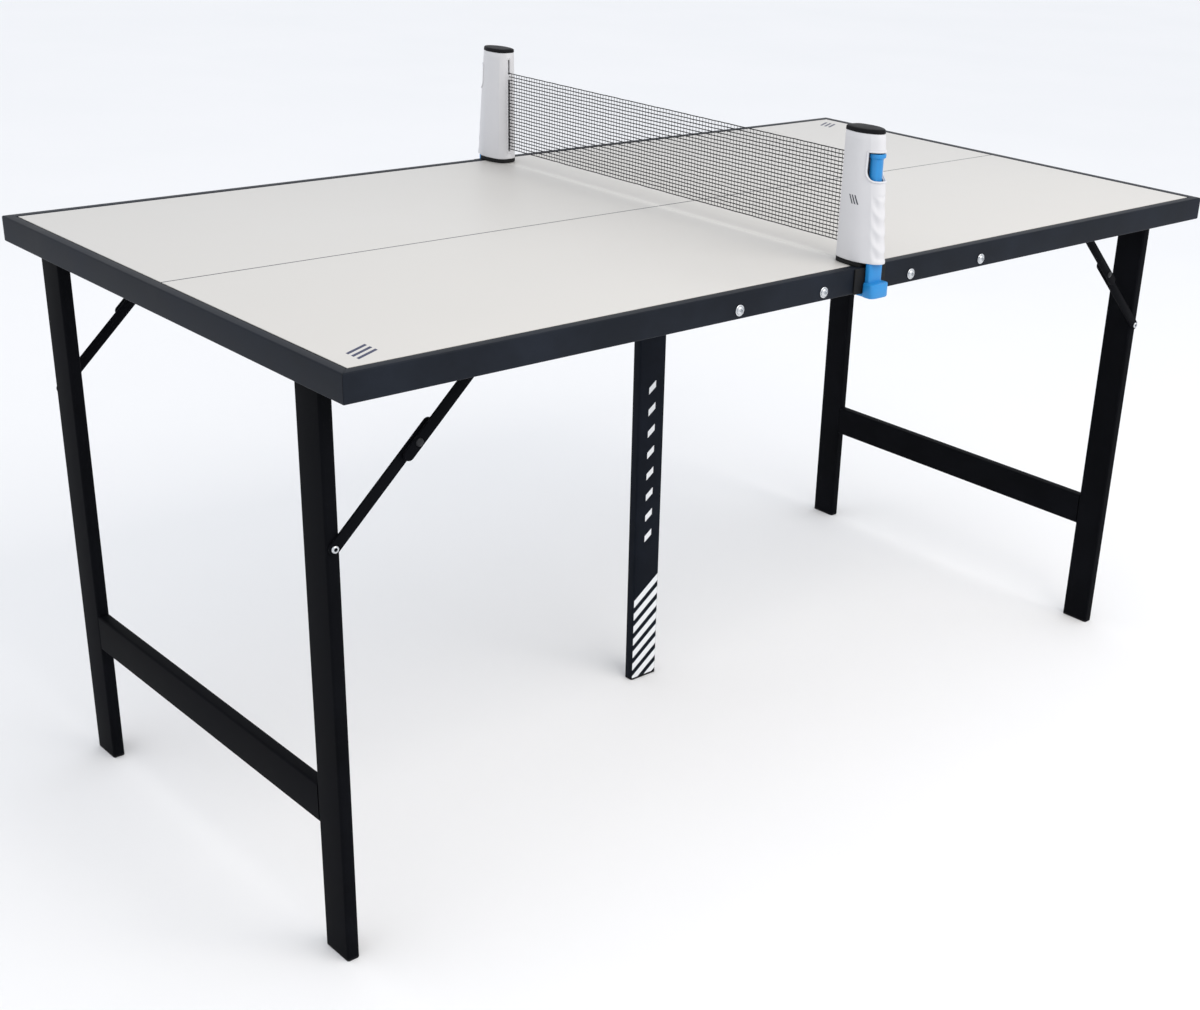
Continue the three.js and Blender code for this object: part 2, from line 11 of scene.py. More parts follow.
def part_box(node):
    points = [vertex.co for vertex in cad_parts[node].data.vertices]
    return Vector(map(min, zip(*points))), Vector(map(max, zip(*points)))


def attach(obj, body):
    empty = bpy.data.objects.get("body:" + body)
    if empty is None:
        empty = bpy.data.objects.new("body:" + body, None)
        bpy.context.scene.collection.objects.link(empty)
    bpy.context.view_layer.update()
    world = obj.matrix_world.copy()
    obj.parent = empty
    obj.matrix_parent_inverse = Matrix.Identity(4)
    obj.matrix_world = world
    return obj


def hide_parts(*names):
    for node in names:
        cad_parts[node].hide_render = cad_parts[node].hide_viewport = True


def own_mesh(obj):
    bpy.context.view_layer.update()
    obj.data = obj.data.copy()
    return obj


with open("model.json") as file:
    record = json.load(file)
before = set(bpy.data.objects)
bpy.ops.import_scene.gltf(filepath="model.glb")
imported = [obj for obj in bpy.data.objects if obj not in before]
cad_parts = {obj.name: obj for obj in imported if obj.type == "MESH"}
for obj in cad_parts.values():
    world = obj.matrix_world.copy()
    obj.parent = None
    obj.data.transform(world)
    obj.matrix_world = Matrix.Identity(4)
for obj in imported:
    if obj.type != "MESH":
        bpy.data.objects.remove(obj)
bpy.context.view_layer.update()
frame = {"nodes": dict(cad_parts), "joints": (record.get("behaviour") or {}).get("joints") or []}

# ---- Camera and stage ----
# Someone tall stands off the left front corner and looks down across the table, head tipped a little.
# The table stands on a plain pale floor under one large soft lamp and a white room.
MM = 0.001
EYE = Vector((-1.4710, -1.6313, 1.1637))
YAW, PITCH, ROLL = (math.radians(angle) for angle in (45.306, -24.547, 2.975))
look = Vector((math.cos(PITCH) * math.cos(YAW), math.cos(PITCH) * math.sin(YAW), math.sin(PITCH)))
level_right = look.cross(Vector((0, 0, 1))).normalized()
level_up = level_right.cross(look)
right = level_right * math.cos(ROLL) + level_up * math.sin(ROLL)
up = level_up * math.cos(ROLL) - level_right * math.sin(ROLL)
lens = bpy.data.cameras.new("camera")
lens.sensor_width = 36
lens.lens = 51.13
lens.shift_x = -0.0991
lens.shift_y = 0.0617
camera = bpy.data.objects.new("camera", lens)
camera.matrix_world = Matrix((right, up, -look)).transposed().to_4x4()
camera.location = EYE
bpy.context.scene.collection.objects.link(camera)
bpy.context.scene.camera = camera
bpy.context.scene.view_settings.view_transform = "Standard"


def to_linear(colour):
    """A colour written as sRGB hex, as the linear RGBA that shaders use."""
    parts = [int(colour[i:i + 2], 16) / 255 for i in (1, 3, 5)]
    return [c / 12.92 if c <= 0.04045 else ((c + 0.055) / 1.055) ** 2.4 for c in parts] + [1]


def add_node(tree, kind, inputs=None, **settings):
    """Adds a node. An input is a value, a socket that feeds it, or a node whose first output feeds it."""
    node = tree.nodes.new(kind)
    for name, value in settings.items():
        setattr(node, name, value)
    for name, value in (inputs or {}).items():
        if isinstance(value, bpy.types.Node):
            value = next(output for output in value.outputs if output.enabled)
        if isinstance(value, bpy.types.NodeSocket):
            tree.links.new(value, node.inputs[name])
        else:
            node.inputs[name].default_value = value
    return node


def new_material(name):
    """A material with an empty tree, the tree, and the socket that gives each point's place in metres."""
    material = bpy.data.materials.new(name)
    material.use_nodes = True
    tree = material.node_tree
    tree.nodes.clear()
    return material, tree, add_node(tree, "ShaderNodeTexCoord").outputs["Object"]


def put_surface(tree, inputs):
    """Ends a material's tree with the surface that its inputs describe."""
    surface = add_node(tree, "ShaderNodeBsdfPrincipled", inputs)
    add_node(tree, "ShaderNodeOutputMaterial", {"Surface": surface})


room = bpy.data.worlds.new("white_room")
room.use_nodes = True
room.node_tree.nodes["Background"].inputs["Color"].default_value = to_linear("#F4F6FA")
room.node_tree.nodes["Background"].inputs["Strength"].default_value = 1.08
bpy.context.scene.world = room

LAMP_PLACE, LAMP_AIM = Vector((0.25, -2.4, 2.7)), Vector((0.1, 0, 0.6))
lamp = bpy.data.lights.new("key_softbox", "AREA")
lamp.shape, lamp.size, lamp.size_y = "RECTANGLE", 2.8, 1.8
lamp.energy, lamp.color = 46, to_linear("#FFF8F0")[:3]
key_light = bpy.data.objects.new("key_softbox", lamp)
key_light.location = LAMP_PLACE
key_light.rotation_euler = (LAMP_AIM - LAMP_PLACE).to_track_quat("-Z", "Y").to_euler()
bpy.context.scene.collection.objects.link(key_light)

FLOOR_REACH = 14
floor_mesh = bpy.data.meshes.new("floor")
floor_corners = [(x * FLOOR_REACH, y * FLOOR_REACH, 0) for x, y in ((-1, -1), (1, -1), (1, 1), (-1, 1))]
floor_mesh.from_pydata(floor_corners, [], [(0, 1, 2, 3)])
floor = bpy.data.objects.new("floor", floor_mesh)
bpy.context.scene.collection.objects.link(floor)
# Matt floor paint, rolled on: almost white, with a mottle too broad and faint to read as a pattern.
floor_paint, tree, where = new_material("pale_floor_paint")
mottle = add_node(tree, "ShaderNodeTexNoise", {"Vector": where, "Scale": 1 / (800 * MM), "Detail": 3})
tone = add_node(tree, "ShaderNodeMix", {
    "Factor": mottle, "A": to_linear("#F1F2F3"), "B": to_linear("#F6F6F7")}, data_type="RGBA")
put_surface(tree, {"Base Color": tone, "Roughness": 0.8, "Specular IOR Level": 0.1})
floor_mesh.materials.append(floor_paint)

# ---- Black powder coat ----
# Satin black polyester powder melted onto the steel frame. It leaves a skin that is nearly black, with a
# soft sheen, a faint ripple some 2 mm across and a little dust and handling wear.
SKIN_RIPPLE = 2.2 * MM


def powder_coat(name, shade, dusty, roughness, sheen, prints=None):
    """Black coat. prints gives a mask of the places where light ink lies on the coat, or nothing."""
    material, tree, where = new_material(name)
    ripple = add_node(tree, "ShaderNodeTexNoise", {
        "Vector": where, "Scale": 1 / SKIN_RIPPLE, "Detail": 2, "Roughness": 0.45})
    cloud = add_node(tree, "ShaderNodeTexNoise", {
        "Vector": where, "Scale": 1 / (110 * MM), "Detail": 5, "Roughness": 0.6})
    wear = add_node(tree, "ShaderNodeMapRange", {
        "Value": cloud, "From Min": 0.42, "From Max": 0.72, "To Min": 0, "To Max": 1})
    colour = add_node(tree, "ShaderNodeMix", {
        "Factor": wear, "A": to_linear(shade), "B": to_linear(dusty)}, data_type="RGBA")
    if prints:
        colour = add_node(tree, "ShaderNodeMix", {
            "Factor": prints(tree, where), "A": colour, "B": to_linear("#E4E6E8")}, data_type="RGBA")
    matt = add_node(tree, "ShaderNodeMapRange", {
        "Value": cloud, "From Min": 0.3, "From Max": 0.75,
        "To Min": roughness, "To Max": roughness + 0.12})
    relief = add_node(tree, "ShaderNodeBump", {
        "Height": ripple, "Strength": 0.25, "Distance": 0.08 * MM})
    put_surface(tree, {"Base Color": colour, "Roughness": matt, "IOR": 1.5,
                       "Specular IOR Level": sheen, "Normal": relief})
    return material


# The frame's coat is a blue black with some sheen. The legs' coat is the same black, flatter, and painted
# darker: painted shade for the shade that falls on the legs under the table.
frame_coat = powder_coat("black_powder_coat_frame", "#171B22", "#1F242D", 0.42, 0.08)
shaded_leg_coat = powder_coat("black_powder_coat_legs_painted_shade", "#0A0B0E", "#0F1014", 0.48, 0.02)

# ---- Tray frames ----
# Each half has two long rails and an end rail of 12.6 by 30 mm steel tube, mitred and welded at the corners,
# with a ledge inside for the board, and a cross tube at the seam. The tubes are lofted with rounded corners.
SIDES = {"left": -1, "right": 1}
FACES = {"near": -1, "far": 1}
RAIL_WIDTH, RAIL_CORNER, RAIL_WALL = 12.6 * MM, 1.8 * MM, 1.4 * MM
MITRE_GAP, SEAM = 0.2 * MM, 0.3 * MM
LEDGE_WIDTH, LEDGE_THICKNESS, LEDGE_GAP = 5 * MM, 2.6 * MM, 0.3 * MM
LEDGE_FROM_END, LEDGE_FROM_SEAM, LEDGE_WELD = 24 * MM, 16 * MM, 0.4 * MM


def rounded_rectangle(width, height, radius, steps=5):
    """The outline of a tube: points (a, b) round a rectangle with round corners."""
    points = []
    for corner in range(4):
        middle_a = (width / 2 - radius) * (1 if corner in (0, 3) else -1)
        middle_b = (height / 2 - radius) * (1 if corner in (0, 1) else -1)
        for step in range(steps + 1):
            turn = math.radians(90 * corner + 90 * step / steps)
            points.append((middle_a + radius * math.cos(turn), middle_b + radius * math.sin(turn)))
    return points


def skin_mesh(rings, ring_of_rings=False):
    """Joins rings of points into a closed body: capped at both ends, or joined end to end like a tyre."""
    body = bmesh.new()
    rows = [[body.verts.new(point) for point in ring] for ring in rings]
    pairs = list(zip(rows, rows[1:])) + ([(rows[-1], rows[0])] if ring_of_rings else [])
    for low, high in pairs:
        for i in range(len(low)):
            j = (i + 1) % len(low)
            body.faces.new((low[i], low[j], high[j], high[i]))
    if not ring_of_rings:
        body.faces.new(list(reversed(rows[0])))
        body.faces.new(rows[-1])
    bmesh.ops.recalc_face_normals(body, faces=body.faces)
    return body


def block_mesh(low, high, bevel=0.0, segments=2):
    """A block between two corners, with rounded edges where bevel is given."""
    body = bmesh.new()
    bmesh.ops.create_cube(body, size=1)
    low, high = Vector(low), Vector(high)
    for vertex in body.verts:
        vertex.co = Vector(l + (h - l) * (c + 0.5) for l, h, c in zip(low, high, vertex.co))
    if bevel:
        bmesh.ops.bevel(
            body, geom=body.edges[:], offset=bevel, segments=segments, affect="EDGES", profile=0.5)
    return body


def make_piece(name, bodies, material, sharp=35):
    """One object from one or more closed bodies, smooth except at edges sharper than the angle."""
    whole = bpy.data.meshes.new(name)
    joined = bmesh.new()
    for body in bodies:
        part = bpy.data.meshes.new("part")
        body.to_mesh(part)
        body.free()
        joined.from_mesh(part)
        bpy.data.meshes.remove(part)
    joined.to_mesh(whole)
    joined.free()
    whole.shade_smooth()
    whole.set_sharp_from_angle(angle=math.radians(sharp))
    whole.materials.append(material)
    piece = bpy.data.objects.new(name, whole)
    bpy.context.scene.collection.objects.link(piece)
    return piece


def mount_piece(piece, body, slot, *nodes):
    """The piece moves with a body and stands for CAD nodes, which are hidden. slot is not used."""
    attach(piece, body)
    if nodes:
        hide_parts(*nodes)
    return piece


def tube_mesh(outline, wall, place):
    """An open tube. place(point, end) puts an outline point at end 0 or 1."""
    def shrink(point):
        (a, b), wide, high = point, max(p[0] for p in outline), max(p[1] for p in outline)
        return a * (wide - wall) / wide, b * (high - wall) / high
    inner = [shrink(point) for point in outline]
    ends = ((outline, 0), (outline, 1), (inner, 1), (inner, 0))
    return skin_mesh([[place(point, end) for point in line] for line, end in ends], ring_of_rings=True)


def tube_across(low, high, corner, wall):
    """An open tube along Y that fills the box between two corners."""
    middle_x, middle_z = (low.x + high.x) / 2, (low.z + high.z) / 2
    return tube_mesh(rounded_rectangle(high.x - low.x, high.z - low.z, corner), wall,
                     lambda point, end: (middle_x + point[0], high.y if end else low.y, middle_z + point[1]))


top_low, top_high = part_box("end_rail_left")[0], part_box("end_rail_right")[1]
HALF_LENGTH, HALF_WIDTH = top_high.x, top_high.y
FRAME_LOW, FRAME_TOP = top_low.z, top_high.z
FRAME_MIDDLE, FRAME_DEPTH = (FRAME_LOW + FRAME_TOP) / 2, FRAME_TOP - FRAME_LOW
LEDGE_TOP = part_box("top_panel_left")[0].z - LEDGE_GAP
rail_outline = rounded_rectangle(RAIL_WIDTH, FRAME_DEPTH, RAIL_CORNER)

for side, sx in SIDES.items():
    for face, fy in FACES.items():
        def at_long_rail(point, end, sx=sx, fy=fy):
            y = fy * (HALF_WIDTH - RAIL_WIDTH / 2 + point[0])
            corner = HALF_LENGTH - (HALF_WIDTH - abs(y)) - MITRE_GAP
            return sx * (corner if end else SEAM), y, FRAME_MIDDLE + point[1]
        inner_y = HALF_WIDTH - RAIL_WIDTH
        ledge_y = sorted(fy * value for value in (inner_y + LEDGE_WELD, inner_y - LEDGE_WIDTH))
        ledge_x = sorted(sx * value for value in (HALF_LENGTH - LEDGE_FROM_END, LEDGE_FROM_SEAM))
        ledge = block_mesh((ledge_x[0], ledge_y[0], LEDGE_TOP - LEDGE_THICKNESS),
                           (ledge_x[1], ledge_y[1], LEDGE_TOP), 0.3 * MM)
        rail = tube_mesh(rail_outline, RAIL_WALL, at_long_rail)
        mount_piece(make_piece(f"long_rail_tube_{side}_{face}", [rail, ledge], frame_coat), "table_top",
                    "black_steel", f"long_rail_{side}_{face}")

    def at_end_rail(point, end, sx=sx):
        x = HALF_LENGTH - RAIL_WIDTH / 2 + point[0]
        corner = HALF_WIDTH - (HALF_LENGTH - x) - MITRE_GAP
        return sx * x, corner if end else -corner, FRAME_MIDDLE + point[1]
    end_tube = tube_mesh(rail_outline, RAIL_WALL, at_end_rail)
    mount_piece(make_piece(f"end_rail_tube_{side}", [end_tube], frame_coat), "table_top",
                "black_steel", f"end_rail_{side}")

    cross_tube = tube_across(*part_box(f"middle_rail_{side}"), RAIL_CORNER, RAIL_WALL)
    mount_piece(make_piece(f"cross_tube_{side}", [cross_tube], frame_coat), "table_top",
                "black_steel", f"middle_rail_{side}")

# ---- Playing boards ----
# Two 12 mm fibreboards with a sprayed off-white playing face, an edge band of black PVC on three sides, a
# thin dark line down the middle and a small slanted mark near a corner. The spray leaves a fine matt grain.
LINE_WIDTH = 2.4
MARK_X, MARK_Y, MARK_BARS, MARK_PITCH, MARK_SHARE, MARK_SLOPE, MARK_HALF = 649, 314, 3, 9, 0.5, 0.5, 15
EDGE_BAND, BAND_GAP, BAND_DROP, BOARD_GAP = 0.9 * MM, 0.05 * MM, 0.5 * MM, 0.4 * MM
SPRAY_GRAIN = 1.1 * MM


def slanted_print(tree, place, middle, bars, pitch, share, slope, half_across):
    """1 inside a row of slanted bars, 0 outside. place and middle are pairs (across, along), in mm."""
    across, along = (add_node(tree, "ShaderNodeMath", {0: value, 1: centre}, operation="SUBTRACT")
                     for value, centre in zip(place, middle))
    sheared = add_node(tree, "ShaderNodeMath", {0: across, 1: -slope, 2: along}, operation="MULTIPLY_ADD")
    steps = add_node(tree, "ShaderNodeMath", {
        0: sheared, 1: 1 / pitch, 2: bars / 2}, operation="MULTIPLY_ADD")
    phase = add_node(tree, "ShaderNodeMath", {0: steps}, operation="FRACT")
    mask = add_node(tree, "ShaderNodeMath", {0: phase, 1: share}, operation="LESS_THAN")
    for value, half in ((across, half_across), (sheared, bars * pitch / 2)):
        size = add_node(tree, "ShaderNodeMath", {0: value}, operation="ABSOLUTE")
        inside = add_node(tree, "ShaderNodeMath", {0: size, 1: half}, operation="LESS_THAN")
        mask = add_node(tree, "ShaderNodeMath", {0: mask, 1: inside}, operation="MULTIPLY")
    return mask


def in_millimetres(tree, where):
    """The X, Y and Z sockets of a place, in millimetres."""
    scaled = add_node(tree, "ShaderNodeVectorMath", {0: where, "Scale": 1000}, operation="SCALE")
    return add_node(tree, "ShaderNodeSeparateXYZ", {0: scaled}).outputs


def sprayed_board(name, sx):
    """Off-white acrylic sprayed on fibreboard: dull and slightly warm, with the line and the mark in ink."""
    material, tree, where = new_material(name)
    x, y, _ = in_millimetres(tree, where)
    cloud = add_node(tree, "ShaderNodeTexNoise", {
        "Vector": where, "Scale": 1 / (200 * MM), "Detail": 4, "Roughness": 0.55})
    grain = add_node(tree, "ShaderNodeTexNoise", {
        "Vector": where, "Scale": 1 / SPRAY_GRAIN, "Detail": 2, "Roughness": 0.6})
    paint = add_node(tree, "ShaderNodeMix", {
        "Factor": cloud, "A": to_linear("#C7C5C1"), "B": to_linear("#CDCBC7")}, data_type="RGBA")
    offset = add_node(tree, "ShaderNodeMath", {0: y}, operation="ABSOLUTE")
    line = add_node(tree, "ShaderNodeMath", {0: offset, 1: LINE_WIDTH / 2}, operation="LESS_THAN")
    lined = add_node(tree, "ShaderNodeMix", {
        "Factor": line, "A": paint, "B": to_linear("#3C3E42")}, data_type="RGBA")
    mark = slanted_print(tree, (x, y), (sx * MARK_X, sx * MARK_Y),
                         MARK_BARS, MARK_PITCH, MARK_SHARE, MARK_SLOPE, MARK_HALF)
    marked = add_node(tree, "ShaderNodeMix", {
        "Factor": mark, "A": lined, "B": to_linear("#2C3150")}, data_type="RGBA")
    matt = add_node(tree, "ShaderNodeMapRange", {
        "Value": cloud, "From Min": 0.3, "From Max": 0.7, "To Min": 0.38, "To Max": 0.5})
    relief = add_node(tree, "ShaderNodeBump", {
        "Height": grain, "Strength": 0.2, "Distance": 0.03 * MM})
    put_surface(tree, {"Base Color": marked, "Roughness": matt, "IOR": 1.5,
                       "Specular IOR Level": 0.45, "Normal": relief})
    return material


def moulded(name, shade, other, roughness, grain, depth, specular=0.5, prints=None):
    """Moulded plastic or rubber, with the fine pits of a spark-eroded mould. prints masks dark ink."""
    material, tree, where = new_material(name)
    pits = add_node(tree, "ShaderNodeTexVoronoi", {"Vector": where, "Scale": 1 / grain}, feature="SMOOTH_F1")
    cloud = add_node(tree, "ShaderNodeTexNoise", {
        "Vector": where, "Scale": 1 / (36 * MM), "Detail": 4, "Roughness": 0.55})
    colour = add_node(tree, "ShaderNodeMix", {
        "Factor": cloud, "A": to_linear(shade), "B": to_linear(other)}, data_type="RGBA")
    if prints:
        colour = add_node(tree, "ShaderNodeMix", {
            "Factor": prints(tree, where), "A": colour, "B": to_linear("#33363F")}, data_type="RGBA")
    matt = add_node(tree, "ShaderNodeMapRange", {
        "Value": cloud, "From Min": 0.3, "From Max": 0.7,
        "To Min": roughness - 0.04, "To Max": roughness + 0.05})
    relief = add_node(tree, "ShaderNodeBump", {
        "Height": pits, "Strength": 0.3, "Distance": depth})
    put_surface(tree, {"Base Color": colour, "Roughness": matt, "IOR": 1.5,
                       "Specular IOR Level": specular, "Normal": relief})
    return material


# Calendered PVC strip, glued on: a dull black line between the board and the rail.
edge_band_pvc = moulded("black_pvc_edge_band", "#0A0A0B", "#101012", 0.5, 0.9 * MM, 0.02 * MM, 0.25)
for side, sx in SIDES.items():
    low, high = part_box(f"top_panel_{side}")
    board_low = Vector((low.x + (EDGE_BAND if sx < 0 else 0), low.y + EDGE_BAND, low.z))
    board_high = Vector((high.x - (EDGE_BAND if sx > 0 else 0), high.y - EDGE_BAND, high.z))
    board = block_mesh(board_low, board_high, 0.35 * MM, 3)
    mount_piece(make_piece(f"playing_board_{side}", [board], sprayed_board(f"sprayed_board_{side}", sx)),
                "table_top", "white_board", f"top_panel_{side}")
    band_top, band = high.z - BAND_DROP, EDGE_BAND - BAND_GAP
    board_end = HALF_LENGTH - RAIL_WIDTH - BOARD_GAP
    end_x = sorted((sx * board_end, sx * (board_end - band)))
    strips = [((low.x, low.y, low.z), (high.x, low.y + band, band_top)),
              ((low.x, high.y - band, low.z), (high.x, high.y, band_top)),
              ((end_x[0], low.y + EDGE_BAND, low.z), (end_x[1], high.y - EDGE_BAND, band_top))]
    bands = [block_mesh(corner_a, corner_b, 0.12 * MM, 1) for corner_a, corner_b in strips]
    mount_piece(make_piece(f"edge_band_{side}", bands, edge_band_pvc), "table_top", "black_plastic")

# ---- Bolted joint at the seam ----
# Two 4 mm plated plates lie inside the long rails across the seam. Four M6 flanged button screws hold each; a
# screw has a hexagon socket, a domed head and a flat rim. One head is turned, then set at each hole.
HEAD_RADIUS, HEAD_HEIGHT, FLANGE_RADIUS, FLANGE_THICKNESS = 4.9 * MM, 3.1 * MM, 6.3 * MM, 0.9 * MM
SOCKET_RADIUS, SOCKET_DEPTH = 2.3 * MM, 1.9 * MM
DOME_SWEEP, SCREW_GAP = 64.8, 0.25 * MM


def plated_steel(name, shade, other, roughness):
    """Bright zinc on steel: a clear metal shine with the small spangles and smears of barrel plating."""
    material, tree, where = new_material(name)
    spangle = add_node(tree, "ShaderNodeTexVoronoi", {"Vector": where, "Scale": 1 / (1.6 * MM)})
    smear = add_node(tree, "ShaderNodeTexNoise", {"Vector": where, "Scale": 1 / (6 * MM), "Detail": 5})
    tint = add_node(tree, "ShaderNodeMix", {
        "Factor": spangle, "A": to_linear(shade), "B": to_linear(other)}, data_type="RGBA")
    matt = add_node(tree, "ShaderNodeMapRange", {
        "Value": smear, "From Min": 0.3, "From Max": 0.7,
        "To Min": roughness - 0.06, "To Max": roughness + 0.1})
    relief = add_node(tree, "ShaderNodeBump", {
        "Height": smear, "Strength": 0.15, "Distance": 0.02 * MM})
    put_surface(tree, {"Base Color": tint, "Metallic": 1, "Roughness": matt, "Normal": relief})
    return material


zinc = plated_steel("bright_zinc_plate", "#D8DADC", "#BFC3C7", 0.24)


def turned_mesh(profile, segments=32):
    """A body turned about Z from (radius, height) points that start and end on the axis."""
    body = bmesh.new()
    rows = []
    for radius, height in profile:
        if radius < 1e-7:
            rows.append([body.verts.new((0, 0, height))])
        else:
            rows.append([body.verts.new((
                radius * math.cos(2 * math.pi * i / segments), radius * math.sin(2 * math.pi * i / segments),
                height)) for i in range(segments)])
    for first, second in zip(rows, rows[1:]):
        for i in range(segments):
            j = (i + 1) % segments
            ring = [row[k % len(row)] for row, k in ((first, i), (first, j), (second, j), (second, i))]
            body.faces.new([v for k, v in enumerate(ring) if v not in ring[:k]])
    bmesh.ops.recalc_face_normals(body, faces=body.faces)
    return body


def screw_head_mesh():
    """The flanged button head, up along Z from its seat. The socket is six flat walls sunk in the dome."""
    segments, dome = 36, []
    for step in range(7):
        turn = math.radians(DOME_SWEEP * step / 6)
        rise = math.sin(turn) / math.sin(math.radians(DOME_SWEEP))
        dome.append((HEAD_RADIUS * math.cos(turn) ** 0.8,
                     FLANGE_THICKNESS + (HEAD_HEIGHT - FLANGE_THICKNESS) * rise))
    rim = [(FLANGE_RADIUS - 0.2 * MM, 0), (FLANGE_RADIUS, 0.2 * MM),
           (FLANGE_RADIUS, FLANGE_THICKNESS - 0.25 * MM), (FLANGE_RADIUS - 0.3 * MM, FLANGE_THICKNESS),
           (HEAD_RADIUS + 0.25 * MM, FLANGE_THICKNESS)]

    def ring(radius, height, hexagonal):
        points = []
        for i in range(segments):
            turn = 2 * math.pi * i / segments
            flat = math.cos(math.pi / 6) / math.cos((turn % (math.pi / 3)) - math.pi / 6) if hexagonal else 1
            points.append((radius * flat * math.cos(turn), radius * flat * math.sin(turn), height))
        return points
    rings = [ring(*p, False) for p in rim + dome]
    rings += [ring(SOCKET_RADIUS + 0.25 * MM, HEAD_HEIGHT + 0.05 * MM, False),
              ring(SOCKET_RADIUS, HEAD_HEIGHT, True), ring(SOCKET_RADIUS, HEAD_HEIGHT - SOCKET_DEPTH, True)]
    return skin_mesh(rings)


def new_tree(name, inputs):
    """A Geometry Nodes tree with the named inputs, and the sockets that give them inside it."""
    group = bpy.data.node_groups.new(name, "GeometryNodeTree")
    for label, kind in {"Geometry": "Geometry", **inputs}.items():
        group.interface.new_socket(label, in_out="INPUT", socket_type=f"NodeSocket{kind}")
    group.interface.new_socket("Geometry", in_out="OUTPUT", socket_type="NodeSocketGeometry")
    return group, add_node(group, "NodeGroupInput").outputs


def set_at_places(name, template, places, material):
    """Sets a copy of a template at each place, a (point, direction) pair, as one plain mesh."""
    cloud = bpy.data.meshes.new(name)
    cloud.from_pydata([tuple(point) for point, _ in places], [], [])
    facing = cloud.attributes.new("facing", "FLOAT_VECTOR", "POINT")
    for item, (_, direction) in zip(facing.data, places):
        item.vector = direction
    holder = bpy.data.objects.new(name, cloud)
    bpy.context.scene.collection.objects.link(holder)
    group, given = new_tree("fastener_setter", {"Fastener": "Object", "Size": "Float", "Finish": "Material"})
    pattern = add_node(group, "GeometryNodeObjectInfo", {"Object": given["Fastener"]})
    direction = add_node(
        group, "GeometryNodeInputNamedAttribute", {"Name": "facing"}, data_type="FLOAT_VECTOR")
    turned = add_node(group, "FunctionNodeAlignRotationToVector", {"Vector": direction}, axis="Z")
    copies = add_node(group, "GeometryNodeInstanceOnPoints", {
        "Points": given["Geometry"], "Instance": pattern.outputs["Geometry"],
        "Rotation": turned, "Scale": given["Size"]})
    real = add_node(group, "GeometryNodeRealizeInstances", {"Geometry": copies})
    painted = add_node(group, "GeometryNodeSetMaterial", {
        "Geometry": real, "Material": given["Finish"]})
    add_node(group, "NodeGroupOutput", {"Geometry": painted})
    return freeze(holder, group, {"Fastener": template, "Size": 1.0, "Finish": material})


def freeze(holder, group, values, sharp=35):
    """Runs a node tree on an object with the named input values. The result becomes its plain mesh."""
    modifier = holder.modifiers.new("maker", "NODES")
    modifier.node_group = group
    for item in group.interface.items_tree:
        if item.item_type == "SOCKET" and item.in_out == "INPUT" and item.name in values:
            modifier[item.identifier] = values[item.name]
    holder.update_tag()
    bpy.context.view_layer.update()
    graph = bpy.context.evaluated_depsgraph_get()
    result = bpy.data.meshes.new_from_object(holder.evaluated_get(graph))
    holder.modifiers.remove(modifier)
    holder.data = result
    result.shade_smooth()
    result.set_sharp_from_angle(angle=math.radians(sharp))
    if "facing" in result.attributes:
        result.attributes.remove(result.attributes["facing"])
    bpy.data.node_groups.remove(group)
    return holder


screw_head = make_piece("screw_head_template", [screw_head_mesh()], zinc)
places, screw_nodes = [], []
for side in SIDES:
    for face, fy in FACES.items():
        for number in (1, 2):
            node = f"joint_bolt_{side}_{face}_{number}"
            low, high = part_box(node)
            seat = ((low.x + high.x) / 2, fy * (HALF_WIDTH + SCREW_GAP), (low.z + high.z) / 2)
            places.append((seat, (0, fy, 0)))
            screw_nodes.append(node)
screws = set_at_places("joint_screw_heads", screw_head, places, zinc)
mount_piece(screws, "table_top", "zinc_steel", *screw_nodes)
bpy.data.objects.remove(screw_head)
for face in FACES:
    frame["nodes"][f"joining_plate_{face}"].data.materials[0] = zinc

# ---- Leg frames ----
# Two legs of 15 by 44 mm tube and one stretcher make each frame. The leg tops are rounded over the axle, and
# a black moulded cap closes each foot. The tube's edges are rolled, so the narrow sides catch some light.
LEG_CORNER, LEG_WALL, LEG_MOUTH = 2.8 * MM, 1.2 * MM, 25 * MM
CAP_LEVELS = [(0.8, 0), (0.25, 0.25), (0, 0.8), (0, 2.75), (0.2, 2.95), (1.75, 3), (1.75, 14), (2.3, 15)]
AXLE_CHAMFER = 0.6 * MM
# Moulded polypropylene, scuffed flat on the floor: a soft black without a highlight.
cap_plastic = moulded("black_polypropylene", "#141416", "#1B1B1D", 0.5, 0.7 * MM, 0.03 * MM, 0.06)


def upright_mesh(low, high, pivot_z, steps):
    """An upright tube: open below with a wall, and rounded over a pivot along Y at the top."""
    wide, deep = high.x - low.x, high.y - low.y
    x, y = (low.x + high.x) / 2, (low.y + high.y) / 2
    outline = rounded_rectangle(wide, deep, LEG_CORNER)
    inner = [(a * (1 - 2 * LEG_WALL / wide), b * (1 - 2 * LEG_WALL / deep)) for a, b in outline]
    rings = [[(x + a, y + b, low.z + rise) for a, b in line]
             for line, rise in ((inner, LEG_MOUTH), (inner, 0), (outline, 0))]
    for step in range(steps + 1):
        turn = math.radians(90 * step / (steps * 1.025))
        narrowed, z = math.cos(turn), pivot_z + wide / 2 * math.sin(turn)
        rings.append([(x + a * narrowed, y + b, z) for a, b in outline])
    return skin_mesh(rings)


def foot_cap_mesh(low, high):
    """A moulded plug with a flat sole, which stands out flush with the tube that it closes."""
    wide, deep = high.x - low.x, high.y - low.y
    x, y = (low.x + high.x) / 2, (low.y + high.y) / 2
    outline = rounded_rectangle(wide, deep, LEG_CORNER)
    return skin_mesh([[(x + a * (1 - 2 * inset * MM / wide), y + b * (1 - 2 * inset * MM / deep), z * MM)
                       for a, b in outline] for inset, z in CAP_LEVELS])


